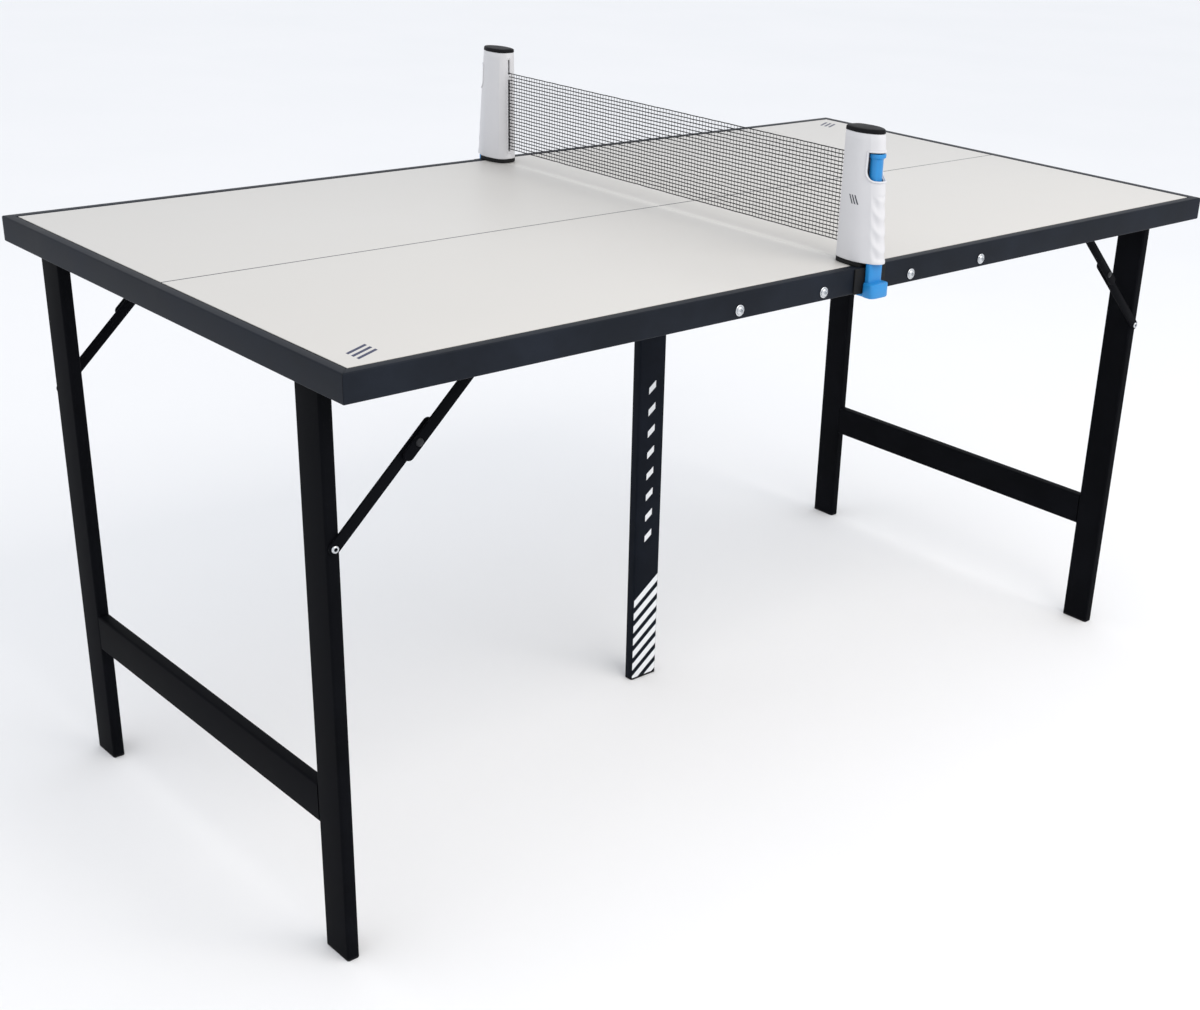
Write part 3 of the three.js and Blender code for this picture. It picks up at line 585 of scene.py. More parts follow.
for side in SIDES:
    axle_low, axle_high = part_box(f"leg_axle_{side}")
    pivot_x, pivot_z = (axle_low.x + axle_high.x) / 2, (axle_low.z + axle_high.z) / 2
    for face in FACES:
        leg = upright_mesh(*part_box(f"leg_{side}_{face}"), pivot_z, 8)
        # The legs and the stretcher take the coat with painted shade, darker than the frame's.
        mount_piece(make_piece(f"leg_tube_{side}_{face}", [leg], shaded_leg_coat), f"leg_frame_{side}",
                    "black_steel", f"leg_{side}_{face}")
        sole = foot_cap_mesh(*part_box(f"foot_cap_{side}_{face}"))
        mount_piece(make_piece(f"foot_cap_moulding_{side}_{face}", [sole], cap_plastic),
                    f"leg_frame_{side}", "black_plastic", f"foot_cap_{side}_{face}")
    bar = tube_across(*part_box(f"stretcher_{side}"), LEG_CORNER, LEG_WALL)
    mount_piece(make_piece(f"stretcher_tube_{side}", [bar], shaded_leg_coat), f"leg_frame_{side}",
                "black_steel", f"stretcher_{side}")
    radius = (axle_high.z - axle_low.z) / 2
    first, last, tip = axle_low.y, axle_high.y, radius - AXLE_CHAMFER
    rod = turned_mesh([(0, first), (tip, first), (radius, first + AXLE_CHAMFER),
                       (radius, last - AXLE_CHAMFER), (tip, last), (0, last)], 24)
    bmesh.ops.rotate(rod, verts=rod.verts, matrix=Matrix.Rotation(math.radians(-90), 3, "X"))
    bmesh.ops.translate(rod, verts=rod.verts, vec=(pivot_x, 0, pivot_z))
    mount_piece(make_piece(f"axle_rod_{side}", [rod], zinc), "table_top", "zinc_steel", f"leg_axle_{side}")

# ---- Folding stays ----
# Beside each leg two flat links of 12.6 by 3 mm strip meet at a riveted knuckle. A plated tube rivet holds
# the lower link to the leg, and the upper one turns on a stud under the board. The strip's edges are dressed.
LINK_WIDTH, LINK_THICKNESS, LINK_EDGE, LINK_SOFT = 12.6 * MM, 3 * MM, 0.5 * MM, 0.15 * MM
LINK_FROM_MIDDLE = {"lower": 299.1 * MM, "upper": 305.1 * MM}
LAP_PAST_KNUCKLE = {"lower": 21 * MM, "upper": 16 * MM}
RIVET_SEAT = -0.4 * MM
# The knuckle's rivet is coated before it is set, then rubbed: a little lighter and glossier than the links.
rivet_black = powder_coat("black_powder_coat_rivets", "#0E0F12", "#24262B", 0.3, 0.3)


def link_mesh(start, end, y_low, y_high):
    """A flat strip with round ends between two points of the XZ plane."""
    direction = (end - start).normalized()
    base = math.atan2(direction.y, direction.x)
    edge = []
    for centre, first in ((end, -90), (start, 90)):
        for step in range(17):
            turn = base + math.radians(first + 180 * step / 16)
            edge.append((centre, turn))

    def ring(inset, y):
        radius = LINK_WIDTH / 2 - inset
        return [(c.x + radius * math.cos(t), y, c.y + radius * math.sin(t)) for c, t in edge]
    edges = ((LINK_EDGE, 0), (LINK_SOFT, LINK_SOFT), (0, LINK_EDGE))
    return skin_mesh([ring(inset, y_low + rise) for inset, rise in edges]
                     + [ring(inset, y_high - rise) for inset, rise in reversed(edges)])


def rivet_mesh(radius, height, hollow):
    """A rivet head up along Z from its seat: domed, or with a rolled rim round a hole when hollow."""
    if hollow:
        rim = [(1, 0.45), (0.86, 0.85), (0.68, 1), (0.5, 0.85), (0.44, 0.4)]
        floor_of_hole = RIVET_SEAT + 0.1 * MM
        return turned_mesh([(0, RIVET_SEAT), (radius, RIVET_SEAT)]
                           + [(radius * r, height * h) for r, h in rim]
                           + [(radius * 0.42, floor_of_hole), (0, floor_of_hole)], 28)
    dome = [(radius * math.cos(math.radians(a)), height * (0.2 + 0.8 * math.sin(math.radians(a))))
            for a in (0, 18, 36, 54, 72)]
    return turned_mesh([(0, RIVET_SEAT), (radius, RIVET_SEAT)] + dome + [(0, height)], 28)


pivots = {joint["name"]: Vector(joint["pos_m"]) for joint in frame["joints"] if "pos_m" in joint}
tube_rivet = make_piece("tube_rivet_template", [rivet_mesh(4.1 * MM, 2.1 * MM, True)], zinc)
dome_rivet = make_piece("dome_rivet_template", [rivet_mesh(4.4 * MM, 2 * MM, False)], rivet_black)
for side in SIDES:
    for face, fy in FACES.items():
        foot, head = (pivots[f"stay_{part}_{side}_{face}"].xz for part in ("lower", "upper"))
        along = (head - foot).normalized()
        drop, run = pivots[f"leg_fold_{side}"].z - foot.y, abs(head.x - foot.x)
        knuckle = foot + along * (((head - foot).length + run - drop) / 2)
        runs = {"lower": (foot, knuckle + along * LAP_PAST_KNUCKLE["lower"]),
                "upper": (knuckle - along * LAP_PAST_KNUCKLE["upper"], head)}
        for part, (start, end) in runs.items():
            inner = LINK_FROM_MIDDLE[part]
            seat = fy * (inner + LINK_THICKNESS)
            strip = link_mesh(start, end, *sorted((fy * inner, seat)))
            body = f"{part}_link_{side}_{face}"
            # The links take the legs' coat, with its painted shade.
            mount_piece(make_piece(f"stay_link_{part}_{side}_{face}", [strip], shaded_leg_coat), body,
                        "black_steel", f"stay_{part}_{side}_{face}")
            name, rivet, spot, finish, slot = {
                "lower": ("leg_rivet", tube_rivet, foot, zinc, "zinc_steel"),
                "upper": ("knuckle_rivet", dome_rivet, knuckle, rivet_black, "black_steel")}[part]
            places = [((spot.x, seat, spot.y), (0, fy, 0))]
            mount_piece(set_at_places(f"{name}_{side}_{face}", rivet, places, finish), body, slot)
        frame["nodes"][f"stay_bracket_{side}_{face}"].data.materials[0] = frame_coat
for template in (tube_rivet, dome_rivet):
    bpy.data.objects.remove(template)

# ---- Centre leg ----
# A 46 by 15 mm tube stands under the seam and folds on one M8 button screw in a bracket. Light stripes are
# printed on its front face near the floor, with a plain column of small slanted bars above them.
STRIPES, STRIPE_PITCH, STRIPE_SHARE, STRIPE_SLOPE, STRIPE_TOP, STRIPE_HALF = 9, 20, 0.55, 0.75, 152, 21.6
BARS, BAR_PITCH, BAR_SHARE, BAR_MIDDLE, BAR_HALF = 8, 31, 0.3, 342, 6


def leg_prints(tree, where):
    """The stripes and the column of bars, on the face that looks towards the near side."""
    x, _, z = in_millimetres(tree, where)
    stripes = slanted_print(tree, (x, z), (0, STRIPE_TOP - STRIPES * STRIPE_PITCH / 2),
                            STRIPES, STRIPE_PITCH, STRIPE_SHARE, STRIPE_SLOPE, STRIPE_HALF)
    column = slanted_print(tree, (x, z), (0, BAR_MIDDLE), BARS, BAR_PITCH, BAR_SHARE, STRIPE_SLOPE, BAR_HALF)
    both = add_node(tree, "ShaderNodeMath", {0: stripes, 1: column}, operation="MAXIMUM")
    facing = add_node(tree, "ShaderNodeSeparateXYZ", {
        0: add_node(tree, "ShaderNodeNewGeometry").outputs["True Normal"]}).outputs["Y"]
    front = add_node(tree, "ShaderNodeMath", {0: facing, 1: -0.7}, operation="LESS_THAN")
    return add_node(tree, "ShaderNodeMath", {0: both, 1: front}, operation="MULTIPLY")


# The same coat as the frame's, a little darker, with light grey pad-printed ink on the front.
centre_coat = powder_coat("black_powder_coat_printed", "#12161D", "#191D26", 0.44, 0.04, leg_prints)
centre_tube = upright_mesh(*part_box("centre_leg"), pivots["centre_leg_fold"].z, 12)
mount_piece(make_piece("centre_leg_tube", [centre_tube], centre_coat), "centre_leg_body", "black_steel",
            "centre_leg")
sole = foot_cap_mesh(*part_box("centre_foot_cap"))
mount_piece(make_piece("centre_foot_moulding", [sole], cap_plastic), "centre_leg_body", "black_plastic",
            "centre_foot_cap")
frame["nodes"]["centre_bracket"].data.materials[0] = frame_coat
frame["nodes"]["centre_pivot_bolt"].data.materials[0] = zinc

# ---- Net posts ----
# Two moulded ABS pods, lens shaped in plan, stand on the rails at the seam. The walls are 2.5 mm. Each has a
# rimmed thumb window, a rimmed slot for the net, four finger grips on its outer edge and a black cap.
POD_BOTTOM, POD_TOP, POD_INNER, POD_MIDDLE, POD_WALL = 690.5, 834, 318, 343, 2.5
TOP_HALF, FOOT_HALF, TOP_THICK, FOOT_THICK = 25.3, 32.8, 16, 19
POD_PROFILE = [(0, 0), (0, 0.3), (0.03, 0.55), (0.09, 0.76), (0.25, 0.92), (0.45, 1), (0.63, 0.96),
               (0.82, 0.72), (0.93, 0.47), (0.985, 0.25), (1, 0)]
INNER_CREASE, OUTER_CREASE = 3, 7
GRIPS, GRIP_LOW, GRIP_HIGH, GRIP_DEPTH, GRIP_SLANT = 4, 693, 768, 1.7, 80
WINDOW_LOW, WINDOW_HIGH, WINDOW_INNER, WINDOW_RADIUS = 782, 815, 358.5, 12
SLOT_LOW, SLOT_HIGH, SLOT_HALF, SLOT_DEPTH = 701, 825, 1.3, 9
SHELF_LOW, SHELF_HIGH, SHELF_FROM, COLUMN_A, COLUMN_HOLE = 714, 717, 348, 361.5, 8.3
CLIP_LOW, CLIP_HIGH, CLIP_HALF, CLIP_OUT = 798.5, 805.6, 3.4, 2.4
CAP_RINGS = [(829.5, POD_WALL + 0.4), (834.3, POD_WALL + 0.4), (834.3, 0.1), (834.5, -0.1), (837.4, 0),
             (838.3, 0.5), (838.75, 1.4), (839, 4), (839.2, 9)]
PAD_RINGS = [(685.3, 0.5), (685.7, 0), (689.8, 0), (690.2, 0.5)]
PAD_REACH = 362.5
POD_MARK_Z, POD_MARK_A, POD_BARS, POD_BAR_PITCH, POD_BAR_HALF = 760, 347.5, 3, 4, 5


def pod_outline(z, inset=0.0, grips=False):
    """Points (x, a) round the pod at height z, in mm. a is the distance out from the table's middle."""
    drop = (POD_TOP - z) / (POD_TOP - POD_BOTTOM)
    half, thick = TOP_HALF + (FOOT_HALF - TOP_HALF) * drop, TOP_THICK + (FOOT_THICK - TOP_THICK) * drop
    side = []
    for index, (u, t) in enumerate(POD_PROFILE):
        if index == OUTER_CREASE:
            u, t = u + 0.07 * drop, t - 0.14 * drop
        repeats = 2 if index in (INNER_CREASE, OUTER_CREASE) else 1
        side += [(t * (thick - inset), POD_INNER + inset + 2 * u * (half - inset))] * repeats
    points = side + [(-x, a) for x, a in reversed(side[1:-1])]
    for _ in range(2):
        cut = []
        for (x0, a0), (x1, a1) in zip(points, points[1:] + points[:1]):
            cut += [(x0 * (1 - share) + x1 * share, a0 * (1 - share) + a1 * share) for share in (0.25, 0.75)]
        points = cut
    if grips and GRIP_LOW < z < GRIP_HIGH:
        for index, (x, a) in enumerate(points):
            u = (a - POD_INNER) / (2 * half)
            share = min(1, max(0, (u - 0.86) / 0.08))
            phase = (z - GRIP_LOW + GRIP_SLANT * (u - 0.9)) / (GRIP_HIGH - GRIP_LOW) * GRIPS
            ease = min(1, (z - GRIP_LOW) / 3, (GRIP_HIGH - z) / 3)
            depth = GRIP_DEPTH * share * ease * (0.5 - 0.5 * math.cos(2 * math.pi * phase)) ** 0.7
            points[index] = (x * (1 - depth / 14), a - depth)
    return points


def pod_side(a, z):
    """Half the pod's thickness at a point of its side."""
    ring = [p for p in pod_outline(z) if p[0] >= 0]
    for (x0, a0), (x1, a1) in zip(ring, ring[1:]):
        if a0 <= a <= a1:
            return x0 + (x1 - x0) * (a - a0) / max(a1 - a0, 1e-6)
    return 0


def pod_ring(z, inset=0.0, grips=False):
    """The pod's outline as places in metres, on the near side of the table."""
    return [(x * MM, -a * MM, z * MM) for x, a in pod_outline(z, inset, grips)]


def combine(body, tool, operation="DIFFERENCE"):
    """One closed body cut by another, or what the two share."""
    holders = []
    for number, part in enumerate((body, tool)):
        solid = bpy.data.meshes.new(f"solid_{number}")
        part.to_mesh(solid)
        part.free()
        holders.append(bpy.data.objects.new(f"solid_{number}", solid))
        bpy.context.scene.collection.objects.link(holders[-1])
    modifier = holders[0].modifiers.new("combine", "BOOLEAN")
    modifier.operation, modifier.solver, modifier.object = operation, "EXACT", holders[1]
    bpy.context.view_layer.update()
    outcome = bpy.data.meshes.new_from_object(holders[0].evaluated_get(bpy.context.evaluated_depsgraph_get()))
    result = bmesh.new()
    result.from_mesh(outcome)
    bpy.data.meshes.remove(outcome)
    for holder in holders:
        solid = holder.data
        bpy.data.objects.remove(holder)
        bpy.data.meshes.remove(solid)
    return result


def bead_mesh(points, outward, radius, sides=10):
    """A round bead along a closed path. outward gives the direction that keeps its section from twisting."""
    rings = []
    for index, point in enumerate(points):
        tangent = (points[(index + 1) % len(points)] - points[index - 1]).normalized()
        normal = outward(point)
        normal = (normal - tangent * normal.dot(tangent)).normalized()
        across = tangent.cross(normal)
        rings.append([point + radius * (normal * math.cos(2 * math.pi * i / sides)
                                        + across * math.sin(2 * math.pi * i / sides)) for i in range(sides)])
    return skin_mesh(rings, ring_of_rings=True)


def from_pod_axis(point):
    """The way out of the pod's wall, near enough."""
    return Vector((point.x * 2, point.y + POD_MIDDLE * MM, 0)).normalized()


def window_path():
    """Round the thumb window, on the pod's surface: over the nose at the top, back under it at the foot."""
    def upright(sign):
        edge = [(WINDOW_INNER, z) for z in (810, 804, 798)]
        for step in range(9):
            turn = math.radians(180 + 80 * step / 8)
            edge.append((WINDOW_INNER + WINDOW_RADIUS + WINDOW_RADIUS * math.cos(turn),
                         WINDOW_LOW + WINDOW_RADIUS + WINDOW_RADIUS * math.sin(turn)))
        return [(sign * pod_side(a, z), a, z) for a, z in edge]
    top = [(sx * pod_side(WINDOW_INNER, WINDOW_HIGH), WINDOW_INNER, WINDOW_HIGH) for sx in (1, -1)]
    over = [(x, a, WINDOW_HIGH) for x, a in pod_outline(WINDOW_HIGH) if a > WINDOW_INNER + 1]
    under = [(x, a, WINDOW_LOW) for x, a in pod_outline(WINDOW_LOW) if a > WINDOW_INNER + WINDOW_RADIUS]
    path = [top[0]] + over + [top[1]] + upright(-1) + under[::-1] + upright(1)[::-1]
    return [Vector((x * MM, -a * MM, z * MM)) for x, a, z in path]


def slot_path():
    """Round the slot for the net."""
    reach, inner = SLOT_HALF + 1.1, POD_INNER + 0.25
    path = [(reach, z) for z in range(SLOT_LOW, SLOT_HIGH + 1, 4)]
    path += [(reach * math.cos(math.radians(t)), SLOT_HIGH + reach * math.sin(math.radians(t)))
             for t in range(15, 180, 15)]
    path += [(-reach, z) for z in range(SLOT_HIGH, SLOT_LOW - 1, -4)]
    path += [(reach * math.cos(math.radians(t)), SLOT_LOW + reach * math.sin(math.radians(t)))
             for t in range(195, 360, 15)]
    return [Vector((x * MM, -inner * MM, z * MM)) for x, z in path]


def turned_post(body, face):
    """Bodies are drawn for the near post; the far one is the same, turned half round."""
    if face == "far":
        bmesh.ops.rotate(body, verts=body.verts, matrix=Matrix.Rotation(math.pi, 3, "Z"))
    return body


def housing_mesh():
    """The pod's shell, with close rings where the grips are. The window and the slot are cut through it."""
    levels_out = [POD_BOTTOM] + [POD_BOTTOM + 0.8 + 1.45 * step for step in range(55)]
    levels_out += [776, 790, 804, 815, 826, POD_TOP - 0.6]
    rings = [pod_ring(z, 0.4 if z == POD_BOTTOM else 0, True) for z in levels_out] + [pod_ring(POD_TOP, 0.5)]
    rings += [pod_ring(z, POD_WALL) for z in (POD_TOP, 760, POD_BOTTOM)]
    shell = skin_mesh(rings, ring_of_rings=True)
    corner = [(WINDOW_INNER + WINDOW_RADIUS * (1 + math.cos(math.radians(t))),
               WINDOW_LOW + WINDOW_RADIUS * (1 + math.sin(math.radians(t)))) for t in range(180, 271, 9)]
    past = POD_INNER + 2 * FOOT_HALF + 20
    opening = [(WINDOW_INNER, WINDOW_HIGH)] + corner + [(past, WINDOW_LOW), (past, WINDOW_HIGH)]
    window = skin_mesh([[(x * MM, -a * MM, z * MM) for a, z in opening] for x in (-40, 40)])
    slot = block_mesh((-SLOT_HALF * MM, -(POD_INNER + SLOT_DEPTH) * MM, SLOT_LOW * MM),
                      (SLOT_HALF * MM, -(POD_INNER - SLOT_DEPTH) * MM, SLOT_HIGH * MM))
    return combine(combine(shell, window), slot)


def shelf_mesh():
    """The floor inside the pod that the spring pushes on, with the hole for the column."""
    plug = skin_mesh([pod_ring(z, POD_WALL - 0.4) for z in (SHELF_LOW, SHELF_HIGH)])
    under, over, hole_radius = (SHELF_LOW - 14) * MM, (SHELF_HIGH + 13) * MM, COLUMN_HOLE * MM
    half = combine(plug, block_mesh((-0.04, -0.4, under), (0.04, -SHELF_FROM * MM, over)), "INTERSECT")
    hole = turned_mesh([(0, under), (hole_radius, under), (hole_radius, over), (0, over)], 40)
    bmesh.ops.translate(hole, verts=hole.verts, vec=(0, -COLUMN_A * MM, 0))
    return combine(half, hole)


def pod_mark(tree, where):
    """Three small slanted bars on the side face of the pod."""
    x, y, z = in_millimetres(tree, where)
    outward = add_node(tree, "ShaderNodeMath", {0: y}, operation="ABSOLUTE")
    mark = slanted_print(tree, (z, outward), (POD_MARK_Z, POD_MARK_A),
                         POD_BARS, POD_BAR_PITCH, MARK_SHARE, -MARK_SLOPE, POD_BAR_HALF)
    side = add_node(tree, "ShaderNodeMath", {0: x, 1: y}, operation="MULTIPLY")
    outer = add_node(tree, "ShaderNodeMath", {0: side, 1: 0}, operation="GREATER_THAN")
    return add_node(tree, "ShaderNodeMath", {0: mark, 1: outer}, operation="MULTIPLY")


# Moulded ABS: a cool light grey with a soft wide highlight. The nitrile rubber of the pads is matt.
pod_plastic = moulded("light_grey_abs", "#CBCBCE", "#D2D2D4", 0.42, 1.3 * MM, 0.015 * MM, 0.4, pod_mark)
pad_rubber = moulded("black_nitrile_rubber", "#101011", "#171718", 0.75, 0.9 * MM, 0.04 * MM, 0.25)
for face in FACES:
    clip = block_mesh((-CLIP_HALF * MM, -(POD_INNER + CLIP_OUT) * MM, CLIP_LOW * MM),
                      (CLIP_HALF * MM, -(POD_INNER - 1) * MM, CLIP_HIGH * MM), 0.7 * MM, 3)
    housing = [housing_mesh(), shelf_mesh(), bead_mesh(window_path(), from_pod_axis, 1.25 * MM),
               bead_mesh(slot_path(), lambda p: Vector((0, 1, 0)), 0.95 * MM), clip]
    mount_piece(make_piece(f"post_shell_{face}", [turned_post(b, face) for b in housing], pod_plastic, 40),
                "table_top", "grey_plastic", f"post_housing_{face}")
    cap = skin_mesh([pod_ring(z, inset) for z, inset in CAP_RINGS])
    mount_piece(make_piece(f"post_cap_moulding_{face}", [turned_post(cap, face)], cap_plastic),
                "table_top", "black_plastic", f"post_cap_{face}")
    pad = skin_mesh([pod_ring(z, inset) for z, inset in PAD_RINGS])
    pad = combine(pad, block_mesh((-0.05, -PAD_REACH * MM, 0.68), (0.05, -0.2, 0.7)), "INTERSECT")
    mount_piece(make_piece(f"post_pad_{face}", [turned_post(pad, face)], pad_rubber), "table_top",
                "black_rubber", f"post_base_pad_{face}")

# ---- Thumb clamps ----
# A blue moulded plunger runs down through each pod: a thumb ledge in the window, a round column in a wire
# spring, a stem outside the rail and a jaw that hooks under it. A black rubber sheet on the rail's face behind
# the jaw is painted shadow: it stands for the shadow that the clamp casts on the rail.
STEM_A, LEDGE_A, JAW_A, HOOK_REACH, HOOK_HALF, HOOK_TOP = 370.6, 362.3, 375, 346, 13, 654.5
SHADOW_SHEET_OUT, SHADOW_SHEET_IN, SHADOW_SHEET_HALF, SHADOW_SHEET_LOW, SHADOW_SHEET_HIGH = 366.2, 364.4, 26, 654.8, 684.6
SPRING_RADIUS, SPRING_WIRE, SPRING_TURNS, TURN_STEPS = 9.1 * MM, 0.8 * MM, 7, 24
SPRING_LOW, SPRING_HIGH, SPRING_FREE, SPRING_PRESSED = 718.4 * MM, 761.6 * MM, 45.4, 27.2
UP, RING_STEPS = Vector((0, 0, 1)), 56
PLUNGER_RINGS = [
    (664, STEM_A, 11, 4.6, 4), (708.2, STEM_A, 11, 4.6, 4), (709, STEM_A - 0.4, 10.7, 4.8, 3.8),
    (713, COLUMN_A + 0.3, 7.8, 7.6, 2.1), (713.4, COLUMN_A, 7.6, 7.6, 2), (763, COLUMN_A, 7.6, 7.6, 2),
    (763, COLUMN_A, 9.6, 9.6, 2), (763.4, COLUMN_A, 10, 10, 2), (765.6, COLUMN_A, 10, 10, 2),
    (766, COLUMN_A, 9.6, 9.6, 2), (766, COLUMN_A, 8, 8, 2), (766.6, COLUMN_A, 7.6, 7.6, 2),
    (806.2, COLUMN_A, 7.6, 7.6, 2), (807, COLUMN_A + 0.2, 7.9, 7.9, 2.2),
    (807.7, COLUMN_A + 0.6, 8.4, 8.4, 2.4), (808.2, LEDGE_A, 8.7, 8.7, 2.6), (808.8, LEDGE_A, 8.8, 8.8, 2.6),
    (811.6, LEDGE_A, 8.8, 8.8, 2.6), (812.3, LEDGE_A, 8.5, 8.5, 2.6), (812.5, LEDGE_A, 8, 8, 2.6),
    (812.3, LEDGE_A, 7.2, 7.2, 2.6), (811.7, LEDGE_A, 5, 5, 2.4), (811.4, LEDGE_A, 2.5, 2.5, 2.2)]
JAW_RINGS = [
    (651.3, JAW_A, 13.8, 7.8, 3.6), (651.6, JAW_A, 14.5, 8.5, 3.8), (652.5, JAW_A, 15, 9, 4),
    (666.4, JAW_A, 15, 9, 4), (667.5, JAW_A, 14.7, 8.7, 4), (668, JAW_A, 13.9, 7.9, 3.8)]

# Moulded polypropylene, dyed through: a clear mid blue, a little glossier than the pods.
blue_plastic = moulded("blue_polypropylene", "#1F80C2", "#2386C8", 0.36, 1.2 * MM, 0.015 * MM, 0.45)


def round_ring(z, a, half_x, half_a, fullness):
    """A ring of a rounded bar: fullness 2 is an ellipse, and more is squarer. Lengths are in mm."""
    points = []
    for i in range(RING_STEPS):
        turn = 2 * math.pi * i / RING_STEPS
        c, s = math.cos(turn), math.sin(turn)
        points.append((half_x * MM * math.copysign(abs(c) ** (2 / fullness), c),
                       (-a + half_a * math.copysign(abs(s) ** (2 / fullness), s)) * MM, z * MM))
    return points


def spring_mesh():
    """Music wire in a helix of round section, with a closed turn at each end. It stands round the column."""
    rings = []
    wire_turns = [math.radians(t) for t in range(0, 360, 36)]
    for step in range(SPRING_TURNS * TURN_STEPS + 1):
        turns = step / TURN_STEPS
        climb = min(1, max(0, (turns - 0.75) / (SPRING_TURNS - 1.5)))
        outward = Vector((math.cos(2 * math.pi * turns), math.sin(2 * math.pi * turns), 0))
        height = SPRING_LOW + (SPRING_HIGH - SPRING_LOW) * climb
        spot = outward * SPRING_RADIUS + Vector((0, -COLUMN_A * MM, height))
        rings.append([spot + SPRING_WIRE * (outward * math.cos(t) + UP * math.sin(t)) for t in wire_turns])
    return skin_mesh(rings)


for face, fy in FACES.items():
    clamp_body = f"clamp_{face}"
    hook = block_mesh((-HOOK_HALF * MM, -(JAW_A - 3) * MM, JAW_RINGS[0][0] * MM),
                      (HOOK_HALF * MM, -HOOK_REACH * MM, HOOK_TOP * MM), 0.8 * MM, 3)
    parts = [skin_mesh([round_ring(*ring) for ring in rings]) for rings in (PLUNGER_RINGS, JAW_RINGS)]
    parts.append(hook)
    mount_piece(make_piece(f"thumb_plunger_{face}", [turned_post(p, face) for p in parts], blue_plastic, 40),
                clamp_body, "blue_plastic", f"clamp_plunger_{face}")
    # Painted shadow: a black sheet on the rail's face, where the clamp's shadow falls.
    shadow_sheet = block_mesh((-SHADOW_SHEET_HALF * MM, -SHADOW_SHEET_OUT * MM, SHADOW_SHEET_LOW * MM),
                       (SHADOW_SHEET_HALF * MM, -SHADOW_SHEET_IN * MM, SHADOW_SHEET_HIGH * MM), 0.5 * MM, 2)
    mount_piece(make_piece(f"jaw_liner_{face}", [turned_post(shadow_sheet, face)], pad_rubber), clamp_body,
                "black_rubber")
    spring = make_piece(f"clamp_coil_{face}", [turned_post(spring_mesh(), face)], zinc, 40)
    mount_piece(spring, "table_top", "zinc_steel", f"clamp_spring_{face}")
    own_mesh(spring)
frame["nodes"]["net_spool"].data.materials[0] = pod_plastic

# ---- Net ----
# Black nylon cord, knotted: 24 cords run from post to post and finer ones cross them, with a knot at each
# crossing. It is drawn flat between the posts and its ends run into their slots, one of them to the roller.
NET_ROWS, NET_COLUMNS = 24, 117
net_low, net_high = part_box("net")
NET_CORD, NET_CROSS, NET_KNOT = 0.64 * MM, 0.3 * MM, 0.78 * MM

# Twisted nylon cord, dyed black: a dull charcoal. Its slanted strands are drawn coarser than life, to show.
net_nylon, tree, where = new_material("black_nylon_cord")
twist = add_node(tree, "ShaderNodeTexWave", {
    "Vector": where, "Scale": 1 / (1.9 * MM), "Distortion": 1.5, "Detail": 1}, bands_direction="DIAGONAL")
lint = add_node(tree, "ShaderNodeTexNoise", {"Vector": where, "Scale": 1 / (16 * MM), "Detail": 3})
fibre = add_node(tree, "ShaderNodeMix", {
    "Factor": lint, "A": to_linear("#141517"), "B": to_linear("#232427")}, data_type="RGBA")
strand = add_node(tree, "ShaderNodeBump", {
    "Height": twist.outputs["Fac"], "Strength": 0.4, "Distance": 0.08 * MM})
put_surface(tree, {"Base Color": fibre, "Roughness": 0.7, "Specular IOR Level": 0.25, "Normal": strand})

netting, given = new_tree("netting", {
    "Rows": "Int", "Columns": "Int", "Low corner": "Vector", "Length": "Float", "Height": "Float",
    "Cord radius": "Float", "Cross cord radius": "Float", "Knot radius": "Float", "Slack": "Float",
    "Cord": "Material"})
steps = {}
for axis, size, count in (("Z", "Height", "Rows"), ("Y", "Length", "Columns")):
    gaps = add_node(netting, "ShaderNodeMath", {0: given[count], 1: 1}, operation="SUBTRACT")
    pitch = add_node(netting, "ShaderNodeMath", {0: given[size], 1: gaps}, operation="DIVIDE")
    steps[axis] = add_node(netting, "ShaderNodeCombineXYZ", {axis: pitch})


def loose_lines(count, axis, across, axis_across):
    """A line of points, repeated across. Every line that passes a place strays by the same small amount."""
    one = add_node(netting, "GeometryNodeMeshLine", {
        "Count": given[count], "Start Location": given["Low corner"], "Offset": steps[axis]}, mode="OFFSET")
    spots = add_node(netting, "GeometryNodeMeshLine", {
        "Count": given[across], "Offset": steps[axis_across]}, mode="OFFSET")
    many = add_node(netting, "GeometryNodeInstanceOnPoints", {"Points": spots, "Instance": one})
    real = add_node(netting, "GeometryNodeRealizeInstances", {"Geometry": many})
    place = add_node(netting, "GeometryNodeInputPosition")
    drift = add_node(netting, "ShaderNodeTexNoise", {
        "Vector": place, "Scale": 1 / (14 * MM), "Detail": 2}, noise_dimensions="3D").outputs["Color"]
    centred = add_node(netting, "ShaderNodeVectorMath", {0: drift, 1: (0.5, 0.5, 0.5)}, operation="SUBTRACT")
    offset = add_node(netting, "ShaderNodeVectorMath", {
        0: centred, "Scale": given["Slack"]}, operation="SCALE")
    return add_node(netting, "GeometryNodeSetPosition", {"Geometry": real, "Offset": offset})


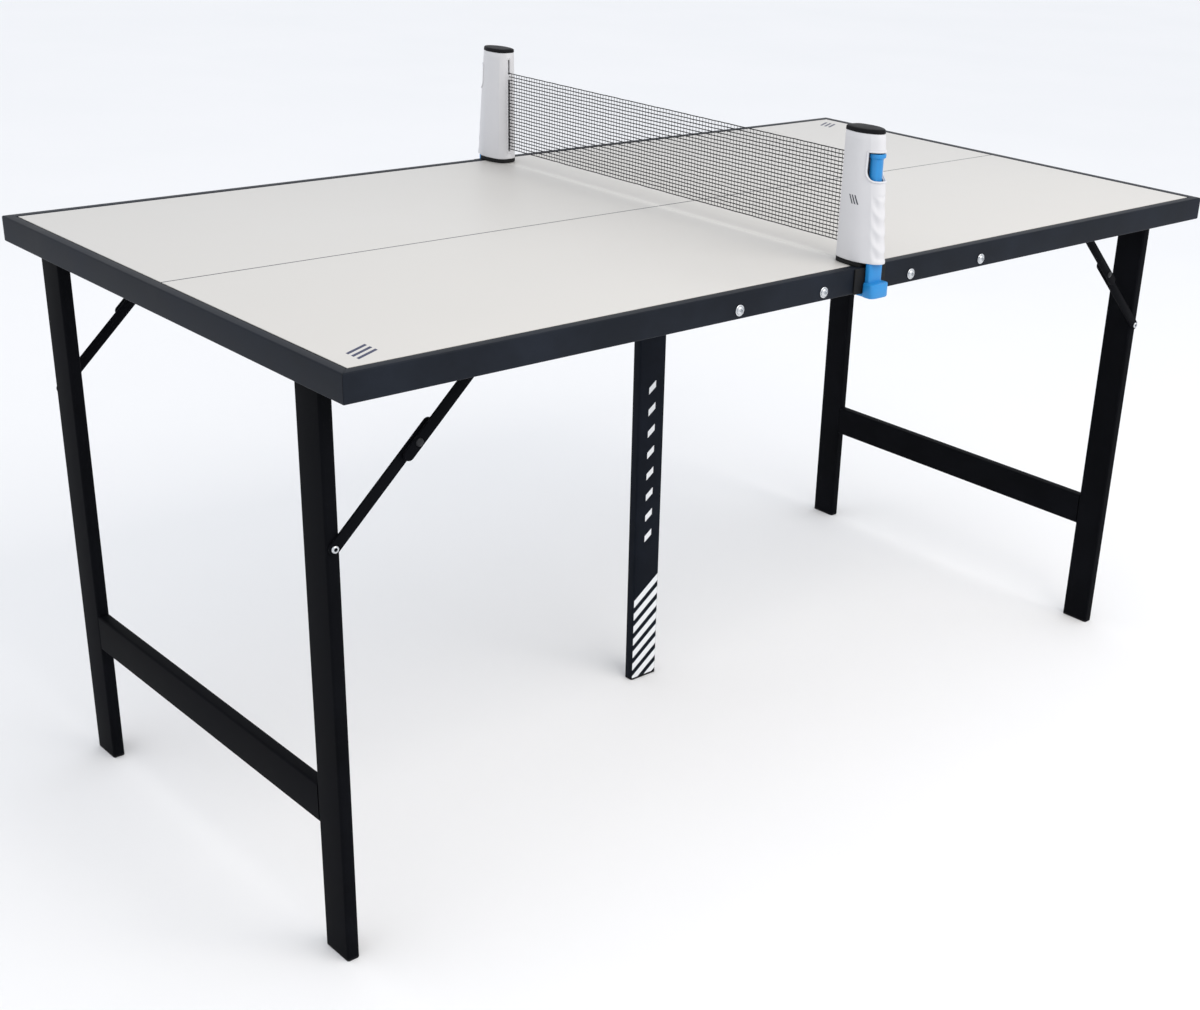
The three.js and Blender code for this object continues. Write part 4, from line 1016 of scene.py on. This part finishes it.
def corded_lines(lines, radius, sides):
    """A round section along every line."""
    curve = add_node(netting, "GeometryNodeMeshToCurve", {"Mesh": lines})
    circle = add_node(netting, "GeometryNodeCurvePrimitiveCircle", {
        "Resolution": sides, "Radius": given[radius]})
    return add_node(netting, "GeometryNodeCurveToMesh", {
        "Curve": curve, "Profile Curve": circle, "Fill Caps": True})


rows_of_points = loose_lines("Columns", "Y", "Rows", "Z")
long_cords = corded_lines(rows_of_points, "Cord radius", 6)
cross_cords = corded_lines(loose_lines("Rows", "Z", "Columns", "Y"), "Cross cord radius", 5)
ball = add_node(netting, "GeometryNodeMeshIcoSphere", {"Radius": given["Knot radius"], "Subdivisions": 1})
turns = add_node(netting, "FunctionNodeRandomValue", {
    "Min": (0, 0, 0), "Max": (6.28, 6.28, 6.28), "Seed": 5}, data_type="FLOAT_VECTOR")
knots = add_node(netting, "GeometryNodeInstanceOnPoints", {
    "Points": rows_of_points, "Instance": ball, "Rotation": turns})
whole = add_node(netting, "GeometryNodeJoinGeometry")
for geometry in (knots, cross_cords, long_cords):
    netting.links.new(geometry.outputs[0], whole.inputs["Geometry"])
solid = add_node(netting, "GeometryNodeRealizeInstances", {"Geometry": whole})
dyed = add_node(netting, "GeometryNodeSetMaterial", {"Geometry": solid, "Material": given["Cord"]})
add_node(netting, "NodeGroupOutput", {"Geometry": dyed})

seed_mesh = bpy.data.meshes.new("net_cords")
seed_mesh.from_pydata([(0, 0, 0)], [], [])
net = bpy.data.objects.new("net_cords", seed_mesh)
bpy.context.scene.collection.objects.link(net)
NET_SLACK, EDGE_ROOM = 1.1 * MM, NET_CORD + 0.1 * MM
freeze(net, netting, {
    "Rows": NET_ROWS, "Columns": NET_COLUMNS, "Low corner": (0, net_low.y, net_low.z + EDGE_ROOM),
    "Length": net_high.y - net_low.y, "Height": net_high.z - net_low.z - 2 * EDGE_ROOM,
    "Cord radius": NET_CORD, "Cross cord radius": NET_CROSS, "Knot radius": NET_KNOT, "Slack": NET_SLACK,
    "Cord": net_nylon}, 50)
mount_piece(net, "table_top", "net_cord", "net")
